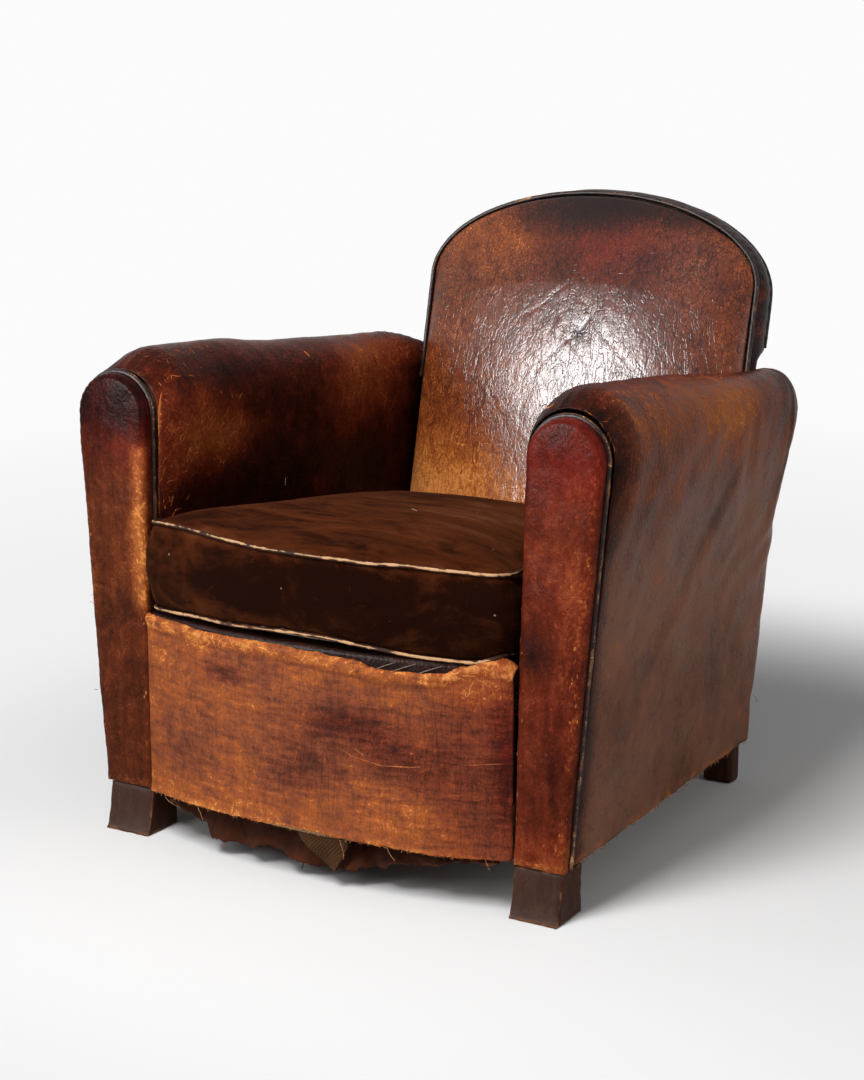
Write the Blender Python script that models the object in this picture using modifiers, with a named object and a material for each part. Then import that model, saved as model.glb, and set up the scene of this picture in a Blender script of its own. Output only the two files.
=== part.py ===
"""A worn leather club chair with a loose velvet seat cushion.

Metres, +Z up. The chair faces -Y, +X is the sitter's left, and the origin is under the middle of the chair
on the floor. Lengths along the chair are measured back from the toe line, where the front feet end.
"""

import math

import bmesh
import bpy
from mathutils import Vector

NAME = "worn_club_chair"

# ---- driving dimensions ----
TOE_Y = -0.3795          # the toe line of the front feet, in the part's own frame
HALF_SEAT = 0.266        # inner edge of each arm facing at the seat
ARM_HALF = 0.385         # widest reach of the arm rolls
FACING_SPARE = 0.0095    # extra width of the right arm's facing
APRON_BOTTOM = 0.065     # lower edge of all the outside leather
APRON_TOP = 0.300
APRON_BOW = 0.048        # how far the middle of the apron stands in front of its ends
APRON_END = 0.012        # the apron's ends, behind the toe line
FOOT_TOP = 0.0617        # the feet meet the facings here
RAIL_BOTTOM = 0.068
RAIL_TOP = 0.134
ROLL_SPRING = 0.545      # height of the roll's widest line at the front
TUCK = 0.270             # the inside arm leather ends here, beside the front of the seat
SEAT_FALL = 0.090        # slope of the seat, down towards the back
CORNER_RADIUS = 0.120    # plan radius of the rear corner at the roll
CORNER_RADIUS_LOW = 0.045
CORNER_CUT = 68.0        # degrees round the corner where the roll meets the side of the back
BACK_HALF = 0.2642       # half the width of the back
BACK_SIDE = 0.2665       # the inside arm leather where it runs beside the back
BACK_SPRING = 0.675      # where the front arch of the back starts
BACK_RISE = 0.128        # rise of that arch
BACK_SPRING_REAR = 0.658  # the same for the rear edge of the band
BACK_RISE_REAR = 0.141
POST_TOP = 0.665         # the posts end here, under the crest rail
BACK_TUCK = 0.292        # the inside back leather ends here, behind the cushion
BACK_CROWN = 0.055       # how far the back's padding stands out
BACK_EDGE = 0.0078       # the back's leather ends this far inside its outline, beside the welt
ARM_REAR = 0.562         # the arm leather stays below this height behind the chair
BAND_DEPTH = 0.055       # depth of the band round the back
LEG_FRONT = 0.038        # the rear legs lie between these two depths in front of the rear surface
LEG_BACK = 0.008
SEAM_LOW = 0.308         # bottom seam of the cushion
SEAM_HIGH = 0.412        # top seam of the cushion
CUSHION_CROWN = 0.455
HIDE = 0.002             # leather
CLOTH = 0.0015           # velvet with its backing
GAP = 0.0004             # clearance between pieces that touch
WELT = 0.0034            # radius of the piping
ROLL_PAD = 0.026         # thickness of the hair over the arm rail
BOARD_FRONT = 0.0122     # the arm's front board lies between these two depths behind its leather's face
BOARD_BACK = 0.0400
LEG_WIDTH = 0.044
BACK_PAD = 0.034         # thickness of the hair in front of the back springs
RAIL_THICK = 0.040       # thickness of the side rails
TACK_RAIL = 0.038        # height of the tack rails
SPRING_TOP = 0.2432      # underside of the spring burlap at the toe line
DECK_TOP = 0.2995        # the deck leather at the toe line
CUSHION_MIDDLE = 0.200   # behind the toe line, the middle of the cushion's crown
CUSHION_FLAT = 0.667     # the share of the bottom panel that rests flat on the deck
BOXING_BELLY = 0.0075    # how far the boxing swells between its seams


def clamp(t):
    return min(max(t, 0.0), 1.0)


def ease(t):
    t = clamp(t)
    return t * t * (3 - 2 * t)


def mix(a, b, t):
    return a + (b - a) * t


def steps(*stops):
    """Evenly spaced values through pairs of (end value, number of steps) after a first value."""
    values = [stops[0]]
    for end, count in stops[1:]:
        start = values[-1]
        values += [mix(start, end, (i + 1) / count) for i in range(count)]
    return values


def at(x, y, z):
    """A point given by its distance behind the toe line."""
    return Vector((x, TOE_Y + y, z))


# ---- scene, collections and materials ----

for old in list(bpy.data.objects):
    bpy.data.objects.remove(old, do_unlink=True)

chair = bpy.data.collections.new(NAME)
bpy.context.scene.collection.children.link(chair)


def finish(obj, name, colour, roughness):
    """Name an object and its mesh, give it a material of its own and put it in the chair."""
    obj.name = name
    obj.data.name = name
    material = bpy.data.materials.new(name)
    material.use_nodes = True
    shader = material.node_tree.nodes["Principled BSDF"]
    shader.inputs["Base Color"].default_value = (*colour, 1)
    shader.inputs["Roughness"].default_value = roughness
    shader.inputs["Metallic"].default_value = 0.85 if colour == STEEL else 0.0
    obj.data.materials.clear()
    obj.data.materials.append(material)
    for owner in list(obj.users_collection):
        owner.objects.unlink(obj)
    chair.objects.link(obj)
    return obj


LEATHER = (0.16, 0.055, 0.022)
TAN_LEATHER = (0.30, 0.12, 0.035)
DARK_LEATHER = (0.05, 0.022, 0.013)
VELVET = (0.045, 0.020, 0.010)
WELT_LEATHER = (0.42, 0.27, 0.14)
BEECH = (0.45, 0.30, 0.17)
DARK_WOOD = (0.040, 0.022, 0.014)
JUTE = (0.33, 0.22, 0.11)
HAIR = (0.14, 0.11, 0.08)
COTTON = (0.55, 0.50, 0.42)
STEEL = (0.34, 0.31, 0.28)


# ---- ways of making a piece ----

def add_mesh(bm, name, colour, roughness, smooth_angle=40):
    mesh = bpy.data.meshes.new(name)
    bm.to_mesh(mesh)
    bm.free()
    mesh.shade_smooth()
    mesh.set_sharp_from_angle(angle=math.radians(smooth_angle))
    return finish(bpy.data.objects.new(name, mesh), name, colour, roughness)


def laid_grid(surface, us, vs, inset=0.0, dropped=None, flip=False):
    """A grid pulled to its place by surface(u, v), then moved inwards by inset."""
    bm = bmesh.new()
    nu, nv = len(us) - 1, len(vs) - 1
    bmesh.ops.create_grid(bm, x_segments=nu, y_segments=nv, size=0.5)
    place = {}
    for v in bm.verts:
        place[v] = (us[round((v.co.x + 0.5) * nu)], vs[round((v.co.y + 0.5) * nv)])
    if dropped:
        gone = []
        for face in bm.faces:
            u = sum(place[v][0] for v in face.verts) / 4
            w = sum(place[v][1] for v in face.verts) / 4
            if dropped(u, w):
                gone.append(face)
        bmesh.ops.delete(bm, geom=gone, context="FACES")
        place = {v: place[v] for v in bm.verts}
    for v, (u, w) in place.items():
        v.co = surface(u, w)
    bmesh.ops.remove_doubles(bm, verts=bm.verts[:], dist=0.00001)
    if flip:
        bmesh.ops.reverse_faces(bm, faces=bm.faces[:])
    bm.normal_update()
    moves = [(v, v.normal * inset) for v in bm.verts]
    for v, move in moves:
        v.co -= move
    return bm


def skin(name, surface, us, vs, thickness, colour, roughness, inset=0.0, dropped=None, flip=False):
    """A sheet with its outer face on the surface: leather, cloth, or a pad when it is thick."""
    bm = laid_grid(surface, us, vs, inset, dropped, flip)
    obj = add_mesh(bm, name, colour, roughness)
    wall = obj.modifiers.new("thickness", "SOLIDIFY")
    wall.thickness = thickness
    wall.offset = -1
    wall.use_even_offset = True
    return obj


def loft(name, rings, colour, roughness, bevel=0.0):
    """A closed body through rings of points that each run the same way round."""
    bm = bmesh.new()
    loops = [[bm.verts.new(p) for p in ring] for ring in rings]
    count = len(rings[0])
    for a, b in zip(loops, loops[1:]):
        for i in range(count):
            j = (i + 1) % count
            bm.faces.new((a[i], a[j], b[j], b[i]))
    bm.faces.new(loops[0])
    bm.faces.new(loops[-1])
    bmesh.ops.recalc_face_normals(bm, faces=bm.faces[:])
    obj = add_mesh(bm, name, colour, roughness)
    if bevel:
        round_over = obj.modifiers.new("edges", "BEVEL")
        round_over.width = bevel
        round_over.segments = 2
        round_over.limit_method = "ANGLE"
        round_over.angle_limit = math.radians(50)
    return obj


def cord(name, points, radius, colour, roughness, closed=False, resolution=1):
    """A round welt or wire along a list of points."""
    curve = bpy.data.curves.new(name, "CURVE")
    curve.dimensions = "3D"
    curve.bevel_depth = radius
    curve.bevel_resolution = resolution
    curve.use_fill_caps = not closed
    spline = curve.splines.new("POLY")
    spline.points.add(len(points) - 1)
    for point, place in zip(spline.points, points):
        point.co = (*place, 1)
    spline.use_cyclic_u = closed
    return finish(bpy.data.objects.new(name, curve), name, colour, roughness)


# ---- the chair's surfaces ----

def face_y(z):
    """The front of the arm facings leans back a little."""
    return 0.008 + 0.022 * z


def rear_y(z):
    """The rear of the chair leans back with the posts."""
    return 0.618 + 0.226 * z


def seat_fall(y):
    """How much lower the seat lies than at the toe line."""
    return -SEAT_FALL * y


def bow(x):
    """The bowed front of the apron."""
    return APRON_END - APRON_BOW * (1 - (x / HALF_SEAT) ** 2)


def swell(y):
    """The arm grows from the facing's outline to its full roll over the first hand's width."""
    return ease((y - 0.028) / 0.062) ** 0.7


def spare(side):
    """The sitter's right facing is a little wider than the left."""
    return FACING_SPARE if side < 0 else 0.0


def crest_z(y, side=1):
    """The left arm is worn lower towards the rear, and the right one stands fuller in the middle."""
    line = 0.6275 - 0.060 * y
    if side > 0:
        line -= 0.014 * ease((y - 0.20) / 0.40)
    else:
        line += 0.006 * math.exp(-((y - 0.20) / 0.13) ** 2)
    return mix(0.600, line, swell(y))


def spring_z(y):
    return mix(ROLL_SPRING, 0.518, clamp(y / 0.63))


def roll_out(y, side=1):
    return mix(0.371 + spare(side), ARM_HALF - 0.055 * max(y - 0.09, 0), swell(y))


def roll_in(y):
    return mix(mix(0.267, 0.250, swell(y)), BACK_SIDE, ease((y - 0.45) / 0.15))


def outer_x(y, z, side=1):
    """The outside of the arm: a leaning side, a slight waist, and the roll standing out above it."""
    along = clamp(y / 0.60)
    spring = spring_z(y)
    foot = mix(0.332 + spare(side), 0.316, along)
    lean = mix(0.094, 0.060, along)
    line = foot + lean * (min(z, spring) - APRON_BOTTOM)
    at_spring = foot + lean * (spring - APRON_BOTTOM)
    return line + (roll_out(y, side) - at_spring) * ease((z - 0.385) / (spring - 0.385))


def inner_x(y, z):
    return mix(BACK_SIDE, roll_in(y), ease((z - 0.29) / 0.24))


def corner_radius(z):
    return mix(CORNER_RADIUS_LOW, CORNER_RADIUS, clamp((z - APRON_BOTTOM) / 0.455))


def seam_x(z):
    """Where the arm leather ends behind the chair, against the outside back."""
    turn = rear_y(z) - corner_radius(z)
    return outer_x(turn, z) - corner_radius(z)


def arm_point(u, v, side=1):
    """The arm leather. u: 0-1 up the inside, 1-3 over the roll, 3-4 down the outside.
    v: 0-1 from the facing to the rear corner, 1-2 round the corner."""
    along = mix(0.035, 0.63, min(v, 1.0))
    turned = clamp(v - 1)
    crest = crest_z(along, side) - 0.040 * turned ** 1.25
    spring = spring_z(along) - 0.004 * turned
    arc = math.radians(90 * clamp((u - 1) / 2) * 2)
    if u <= 1:
        z = mix(TUCK + seat_fall(along), spring, u)
        across = 0.0
    elif u < 3:
        z = spring + (crest - spring) * math.sin(arc)
        across = (1 - math.cos(arc)) / 2
    else:
        z = mix(spring, APRON_BOTTOM, u - 3)
        across = 1.0
    radius = corner_radius(z)
    turn_y = rear_y(z) - radius
    if v <= 1:
        y = mix(face_y(z) + 0.024, turn_y, v)
        return Vector((mix(inner_x(y, z), outer_x(y, z, side), across), TOE_Y + y, z))
    angle = math.radians(90 * turned)
    centre_x = outer_x(turn_y, z) - radius
    cut = math.radians(CORNER_CUT)
    if angle <= cut:
        width = (centre_x + radius * math.cos(angle) - BACK_SIDE) / math.cos(angle)
    else:
        at_cut = (centre_x + radius * math.cos(cut) - BACK_SIDE) / math.cos(cut)
        width = max(at_cut, 0) * ((math.pi / 2 - angle) / (math.pi / 2 - cut)) ** 2.5
    reach = radius - max(width, 0.0) * (1 - across)
    y = turn_y + reach * math.sin(angle)
    if u <= 1:
        y = min(y, rear_y(z) - LEG_FRONT - 0.002)
    return at(centre_x + reach * math.cos(angle), y, z)


# The lines that the arm's sheets share, so that each lies evenly against the next.
ARM_ALONG = [0, 0.05, 0.12, 0.25, 0.45, 0.65, 0.85, 1.0]
ARM_CORNER = [1.15, 1.3, 1.45, 1.6, 1 + CORNER_CUT / 90, 1.88, 2.0]
ARM_ACROSS = [0, 0.5, 1, 1.25, 1.5, 1.75, 2, 2.25, 2.5, 2.75, 3, 3.14, 3.3, 3.5, 3.75, 4]


def facing_outline(side, grow=0.0, rise=6, arc=10):
    """The outline of an arm facing: up the inside, over the round top and down the outside."""
    inner_low, inner_high = HALF_SEAT - grow, 0.271 - grow
    outer_low, outer_high = 0.331 + spare(side) + grow, 0.3675 + spare(side) + grow
    low = 0.062 - grow
    middle, radius = (inner_high + outer_high) / 2, (outer_high - inner_high) / 2
    points = []
    for i in range(rise):
        t = i / rise
        points.append((mix(inner_low, inner_high, t), mix(low, ROLL_SPRING, t)))
    for i in range(arc + 1):
        turn = math.pi * (1 - i / arc)
        points.append((middle + radius * math.cos(turn), ROLL_SPRING + radius * math.sin(turn)))
    for i in range(rise):
        t = (i + 1) / rise
        points.append((mix(outer_high, outer_low, t), mix(ROLL_SPRING, low, t)))
    return points


def facing_ring(side, grow, depth):
    return [at(x * side, face_y(z) + depth, z) for x, z in facing_outline(side, grow)]


def arch(t, rear, shrink=0.0):
    """The arch of the back at t from -1 over the top to 1: rear is 0 at its front edge and 1 at its rear."""
    angle = t * math.pi / 2
    spring, rise = mix(BACK_SPRING, BACK_SPRING_REAR, rear), mix(BACK_RISE, BACK_RISE_REAR, rear)
    return (BACK_HALF - shrink) * math.sin(angle), spring + (rise - shrink) * math.cos(angle)


def back_outline(t, low, rear, shrink=0.0):
    """The arch with its sides carried down to the height low: t from -1 to 1."""
    part = 0.30
    if abs(t) <= 1 - part:
        return arch(t / (1 - part), rear, shrink)
    down = (abs(t) - (1 - part)) / part
    return math.copysign(BACK_HALF - shrink, t), mix(arch(1, rear)[1], low, down)


def back_bulge(a, z):
    """How far the padding stands out of the back's edge plane: a from -1 to 1 across the back."""
    across = max(1 - abs(a) ** 2.6, 0) ** 0.55
    top = BACK_SPRING + BACK_RISE * math.sqrt(max(1 - a * a, 0))
    up = clamp((z - BACK_TUCK) / (top - BACK_TUCK))
    tucked = mix(0.74, 1, ease((z - BACK_TUCK) / 0.08))
    return BACK_CROWN * across * max(1 - up ** 5, 0) ** 0.6 * tucked


def inside_back_point(a, b, shrink=BACK_EDGE):
    """The inside back leather: a across, b from the tuck behind the cushion to the arch."""
    angle = a * math.pi / 2
    x = (BACK_HALF - shrink) * math.sin(angle)
    top = BACK_SPRING + (BACK_RISE - shrink) * math.cos(angle)
    z = mix(BACK_TUCK, top, b)
    return at(x, rear_y(z) - BAND_DEPTH - back_bulge(math.sin(angle), z) * clamp(1.2 * (1 - b) + 0.72), z)


def outside_back_half(z):
    """The outside back narrows between the arms and widens above them."""
    below = seam_x(min(z, 0.52)) - 0.0016
    return mix(below, BACK_HALF - BACK_EDGE, ease((z - ARM_REAR) / 0.022))


def outside_back_point(a, b):
    """a across; b from -1 at the lower edge to 0 at the tops of the arms and 1 at the arch."""
    angle = a * math.pi / 2
    z = mix(ARM_REAR, arch(a, 1, BACK_EDGE)[1] if b > 0 else APRON_BOTTOM, abs(b))
    crown = 0.002 * (1 - a * a) * math.cos(math.pi / 2 * b)
    return at(outside_back_half(z) * math.sin(angle), rear_y(z) + crown, z)


def band_rear(z):
    """The band stops short of the rear where the arm leather wraps round below it."""
    return rear_y(z) - mix(0.026, 0.0042, ease((z - 0.574) / 0.014))


def band_point(t, w):
    x, z = back_outline(t, 0.500, w)
    belly = 0.0045 * math.sin(math.pi * w)
    outwards = Vector((x, 0, max(z - BACK_SPRING, 0) * 2)).normalized()
    return at(x, mix(rear_y(z) - BAND_DEPTH + 0.0042, band_rear(z), w), z) + outwards * (belly - 0.0020)


def cushion_outline(t, grow=0.0):
    """The cushion seen from above, as (x, distance behind the toe line): bowed front, round rear corners.
    t runs from 0 to 1 anticlockwise from the middle of the front."""
    half, rear, rear_round, front_round = 0.249 + grow, 0.577 + grow, 0.055, 0.030
    side_front = bow(half) + 0.004 - grow
    path = []
    for i in range(9):
        x = mix(0, half - front_round, i / 8)
        path.append((x, bow(x) + 0.003 - grow))
    for i in range(1, 5):
        turn = math.radians(90 * i / 4)
        start = bow(half - front_round) + 0.003 - grow
        path.append((half - front_round * (1 - math.sin(turn)),
                     mix(start, side_front + front_round, 1 - math.cos(turn))))
    for i in range(1, 6):
        path.append((half, mix(side_front + front_round, rear - rear_round, i / 5)))
    for i in range(1, 5):
        turn = math.radians(90 * i / 4)
        path.append((half - rear_round * (1 - math.cos(turn)), rear - rear_round * (1 - math.sin(turn))))
    for i in range(1, 5):
        path.append((mix(half - rear_round, 0, i / 4), rear))
    right = path + [(-x, y) for x, y in reversed(path[1:-1])]
    spans = [0.0]
    for p, q in zip(right, right[1:] + right[:1]):
        spans.append(spans[-1] + math.dist(p, q))
    goal = (t % 1.0) * spans[-1]
    for i, p in enumerate(right):
        if goal <= spans[i + 1]:
            q = right[(i + 1) % len(right)]
            return tuple(mix(p[k], q[k], (goal - spans[i]) / (spans[i + 1] - spans[i])) for k in (0, 1))
    return right[0]


def seam_dip(y):
    """The top seam sags towards the middle of the front, and the cushion flattens towards the back."""
    return 0.006 * ease(1 - y / 0.10) + 0.010 * ease((y - 0.15) / 0.40)


def cushion_panel(t, s, top):
    """The top or bottom panel: s from 0 at the middle to 1 at the seam."""
    x, y = cushion_outline(t, -0.0024)
    px, py = x * s, mix(CUSHION_MIDDLE, y, s)
    flattened = ease((y - 0.15) / 0.35)
    fall = max(1 - s ** mix(2.4, 1.8, flattened), 0) ** mix(0.8, 1.1, flattened)
    if top:
        seam = SEAM_HIGH - seam_dip(y) + 0.0010
        return at(px, py, seam + (CUSHION_CROWN - seam) * fall + seat_fall(py))
    flat = SEAM_LOW - 0.0016 - 0.0064 * clamp((1 - s) / (1 - CUSHION_FLAT))
    return at(px, py, flat + seat_fall(py))


def cushion_side(t, w, inset=0.0):
    """The boxing: w from 0 at the bottom seam to 1 at the top seam."""
    x, y = cushion_outline(t, BOXING_BELLY * math.sin(math.pi * w) ** 0.8 - inset)
    z = mix(SEAM_LOW + 0.0038, SEAM_HIGH - 0.0034 - seam_dip(y), w)
    return at(x, y, z + seat_fall(y))


# ---- frame ----

SIDES = (("left", 1), ("right", -1))


def mirrored(points, side):
    return [Vector((p.x * side, p.y, p.z)) for p in points]


def box_ring(x0, x1, y0, y1, z):
    return [at(x0, y0, z), at(x1, y0, z), at(x1, y1, z), at(x0, y1, z)]


def front_foot(word, side):
    """A block whose front sweeps forward to the floor."""
    rings = []
    for i in range(6):
        z = FOOT_TOP * i / 5
        sweep = 0.015 * (i / 5) ** 0.55
        rings.append(mirrored(box_ring(0.2663, 0.3310 + spare(side) / 2, sweep, 0.065, z), side))
    loft(f"front_foot_{word}", rings, DARK_WOOD, 0.45, bevel=0.003)


def leg_outer(z):
    return 0.302 - 0.088 * min(z, 0.50)


def rear_leg(word, side):
    """One raked board from the floor to the spring of the back: foot below, post above."""
    rings = []
    for z in (0, FOOT_TOP, 0.20, 0.35, 0.50, POST_TOP):
        outer = leg_outer(z)
        board = box_ring(outer - LEG_WIDTH, outer, rear_y(z) - LEG_FRONT, rear_y(z) - LEG_BACK, z)
        rings.append(mirrored(board, side))
    loft(f"rear_leg_{word}", rings, DARK_WOOD, 0.5, bevel=0.006)


def arm_board(word, side):
    """The front board of the arm, behind the facing."""
    rings = [facing_ring(side, -0.0045, depth) for depth in (BOARD_FRONT, BOARD_BACK)]
    loft(f"arm_front_board_{word}", rings, BEECH, 0.6)


def side_rail(word, side):
    def surface(u, v):
        p = arm_point(3 + u, v, side)
        return Vector((p.x * side, min(p.y, TOE_Y + rear_y(p.z) - LEG_FRONT - 0.0006), p.z))

    spring = spring_z(0.3)
    low = (spring - RAIL_BOTTOM) / (spring - APRON_BOTTOM)
    high = (spring - RAIL_TOP) / (spring - APRON_BOTTOM)
    start = 0.0205 / 0.55
    along = [start] + ARM_ALONG[1:] + ARM_CORNER[:2]
    skin(f"side_rail_{word}", surface, [high, low], along, RAIL_THICK, BEECH, 0.6, inset=HIDE + GAP,
         flip=side < 0)


def tack_rail(word, side):
    """Holds the lower edge of the inside arm leather beside the seat."""
    inner, outer, low = BACK_SIDE + HIDE + GAP, 0.296, TUCK - 0.008
    rings = []
    for end, depth, fall in ((face_y, BOARD_BACK + GAP, 0), (rear_y, -LEG_FRONT - GAP, seat_fall(0.64))):
        corners = ((inner, 0), (outer, 0), (outer, TACK_RAIL), (inner, TACK_RAIL))
        ring = [at(x, end(low + fall + up) + depth, low + fall + up) for x, up in corners]
        rings.append(mirrored(ring, side))
    loft(f"arm_tack_rail_{word}", rings, BEECH, 0.6, bevel=0.002)


def arm_rail(word, side):
    """The top rail of the arm, with a round upper face under the stuffing."""
    less = HIDE + ROLL_PAD + 0.0078
    rings = []
    for i in range(7):
        along = mix(0.052, 0.655, i / 6)
        swollen = max(along, 0.12)
        low, middle = spring_z(along) - 0.045, (roll_in(swollen) + roll_out(swollen)) / 2
        half = (roll_out(swollen) - roll_in(swollen)) / 2 - less
        rise = crest_z(swollen, side) - less - spring_z(along)
        ring = [(middle + half - 0.014, low), (middle - half + 0.014, low)]
        for k in range(7):
            turn = math.pi * (1 - k / 6)
            ring.append((middle + half * math.cos(turn), spring_z(along) + rise * math.sin(turn)))
        placed = [at(x, face_y(z) + BOARD_BACK + GAP if i == 0 else along, z) for x, z in ring]
        rings.append(mirrored(placed, side))
    loft(f"arm_rail_{word}", rings, BEECH, 0.6)


def front_rail():
    def surface(u, v):
        x = mix(-1, 1, u) * (HALF_SEAT - 0.0005)
        return at(x, bow(x), mix(RAIL_BOTTOM, RAIL_TOP, v))

    skin("front_rail", surface, steps(0, (1, 14)), [0, 1], 0.028, BEECH, 0.6, inset=0.0030)


def between_legs(z):
    half = leg_outer(z) - LEG_WIDTH - GAP
    return box_ring(-half, half, rear_y(z) - 0.036, rear_y(z) - 0.010, z)


def rear_rails():
    """The seat's rear rail, and the rail that holds the lower edge of the back's leather."""
    for name, low, high in (("rear_rail", RAIL_BOTTOM, RAIL_TOP),
                            ("back_tack_rail", BACK_TUCK, BACK_TUCK + TACK_RAIL)):
        loft(name, [between_legs(low), between_legs(high)], BEECH, 0.6, bevel=0.002)


def crest_rail():
    """The bent top rail of the back, standing on the two posts."""
    rings = []
    for i in range(15):
        t = mix(-1, 1, i / 14)
        ring = []
        for shrink, depth in ((0.0062, 0.036), (0.0062, 0.010), (0.0475, 0.010), (0.0475, 0.036)):
            x, z = arch(t, 1 - depth / BAND_DEPTH, shrink)
            z = max(z, POST_TOP + 0.0003)
            ring.append(at(x, rear_y(z) - depth, z))
        rings.append(ring)
    loft("crest_rail", rings, BEECH, 0.6)


# ---- springing ----

def lattice(name, surface, count_u, count_v, strap, gap_u, gap_v, thickness):
    """Crossed webbing: straps both ways with open squares between them."""
    def lines(count, gap):
        total = count * strap + (count + 1) * gap
        stops = [0.0]
        for _ in range(count):
            stops += [stops[-1] + gap, stops[-1] + gap + strap]
        stops.append(total)
        return [s / total for s in stops], [((a + b) / 2) / total for a, b in zip(stops, stops[1:])][::2]

    us, open_u = lines(count_u, gap_u)
    vs, open_v = lines(count_v, gap_v)

    def dropped(u, v):
        near_u = min(abs(u - m) for m in open_u) < 0.001
        near_v = min(abs(v - m) for m in open_v) < 0.001
        return near_u and near_v

    skin(name, surface, us, vs, thickness, JUTE, 0.9, dropped=dropped)


def seat_plan(a, b, front, rear, half=0.2612):
    """A point in the seat's plan: a across, b from the bowed front to the rear."""
    x = a * half
    return x, mix(bow(x) + front, rear, b)


def seat_webbing():
    def surface(u, v):
        x, y = seat_plan(mix(-1, 1, u), v, 0.0075, 0.612, half=0.285)
        return at(x, max(y, bow(min(abs(x), 0.262)) + 0.0075), RAIL_BOTTOM - 0.0003)

    lattice("seat_webbing", surface, 5, 5, 0.050, 0.053, 0.064, 0.0022)


def coil(turns, waist, flare, per_turn=8):
    """A waisted coil with a flat turn at each end, as (height from 0 to 1, offset across, offset along)."""
    count = turns * per_turn
    for i in range(count + 1):
        t = i / count
        radius = waist + flare * (2 * t - 1) ** 2
        angle = 2 * math.pi * i / per_turn
        yield ease((t * turns - 1) / (turns - 2)), radius * math.cos(angle), radius * math.sin(angle)


def seat_springs():
    """Nine waisted coils between the webbing and the spring burlap."""
    wire = 0.0019
    low = RAIL_BOTTOM + wire + GAP
    for row in range(3):
        for column in range(3):
            middle = Vector(((column - 1) * 0.150, 0.130 + row * 0.165))
            points = []
            for height, across, along in coil(5, 0.030, 0.013):
                x, y = middle.x + across, middle.y + along
                points.append(at(x, y, mix(low, SPRING_TOP + seat_fall(y) - wire - GAP, height)))
            cord(f"seat_spring_{row * 3 + column + 1}", points, wire, STEEL, 0.45, resolution=0)


SEAT_BACKWARD = [0, 0.03, 0.15, 0.25, 0.5, 0.75, 1]


def seat_sheets():
    """Spring burlap, the hair stuffing above it, and the deck leather with its front lip."""
    across = steps(-1, (1, 12))

    def burlap(u, v):
        x, y = seat_plan(u, v, 0.0055, 0.600)
        return at(x, y, SPRING_TOP + 0.0015 + seat_fall(y))

    skin("spring_burlap", burlap, across, SEAT_BACKWARD, 0.0014, JUTE, 0.9)

    def stuffing(u, v):
        x, y = seat_plan(u, v, 0.0055, 0.615)
        return at(x, y, DECK_TOP - 0.0019 + seat_fall(y) - 0.004 * ease(1 - v / 0.03))

    skin("seat_stuffing", stuffing, across, SEAT_BACKWARD, 0.0480, HAIR, 0.95)

    def deck(u, v):
        x, y = seat_plan(u, clamp(v), 0.0034, 0.612)
        return at(x, y, DECK_TOP + seat_fall(y) if v >= 0 else mix(DECK_TOP, 0.262, -v))

    skin("seat_deck", deck, across, [-1, -0.5] + SEAT_BACKWARD, 0.0014, DARK_LEATHER, 0.5)


def front_edge():
    """The apron leather and the pad behind it, above the front rail."""
    def apron(u, v):
        x = u * (HALF_SEAT - 0.0004)
        dip = 0.011 * math.exp(-((x - 0.12) / 0.10) ** 2)
        droop = 0.006 * math.exp(-((x - 0.06) / 0.14) ** 2)
        return at(x, bow(x), mix(APRON_BOTTOM - droop, APRON_TOP - dip, v))

    across = steps(-1, (1, 16))
    skin("front_apron", apron, across, steps(0, (1, 4)), 0.0026, TAN_LEATHER, 0.6)

    def pad(u, v):
        x = u * (HALF_SEAT - 0.0005)
        top = SPRING_TOP - GAP + seat_fall(bow(x) + 0.013)
        return at(x, bow(x), mix(RAIL_TOP + GAP, top, v))

    skin("front_edge_pad", pad, across, [0, 1], 0.010, HAIR, 0.95, inset=0.0030)


# ---- arms ----

def sided(side):
    def surface(u, v):
        p = arm_point(u, v, side)
        return Vector((p.x * side, p.y, p.z))
    return surface


def arm_leather(word, side):
    """One hide from the seat, over the roll, down the outside and round the rear corner."""
    def dropped(u, v):
        return u < 2 and v > 1 + CORNER_CUT / 90

    skin(f"arm_leather_{word}", sided(side), ARM_ACROSS, ARM_ALONG + ARM_CORNER, HIDE, LEATHER, 0.42,
         dropped=dropped, flip=side < 0)


def arm_stuffing(word, side):
    """Hair over the rail and down the inside of the arm."""
    across = [u for u in ARM_ACROSS if 0.1 < u < 3.2]
    skin(f"arm_stuffing_{word}", sided(side), across, ARM_ALONG[1:] + ARM_CORNER[:1], ROLL_PAD, HAIR, 0.95,
         inset=HIDE + GAP, flip=side < 0)


def arm_piping(word, side):
    """The welt between the facing and the arm leather."""
    outline = [(x * side, max(z, APRON_BOTTOM)) for x, z in facing_outline(side, 0.0010, rise=5, arc=12)]
    cord(f"arm_piping_{word}", [at(x, face_y(z) + 0.0200, z) for x, z in outline], WELT, DARK_LEATHER, 0.45)


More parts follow.
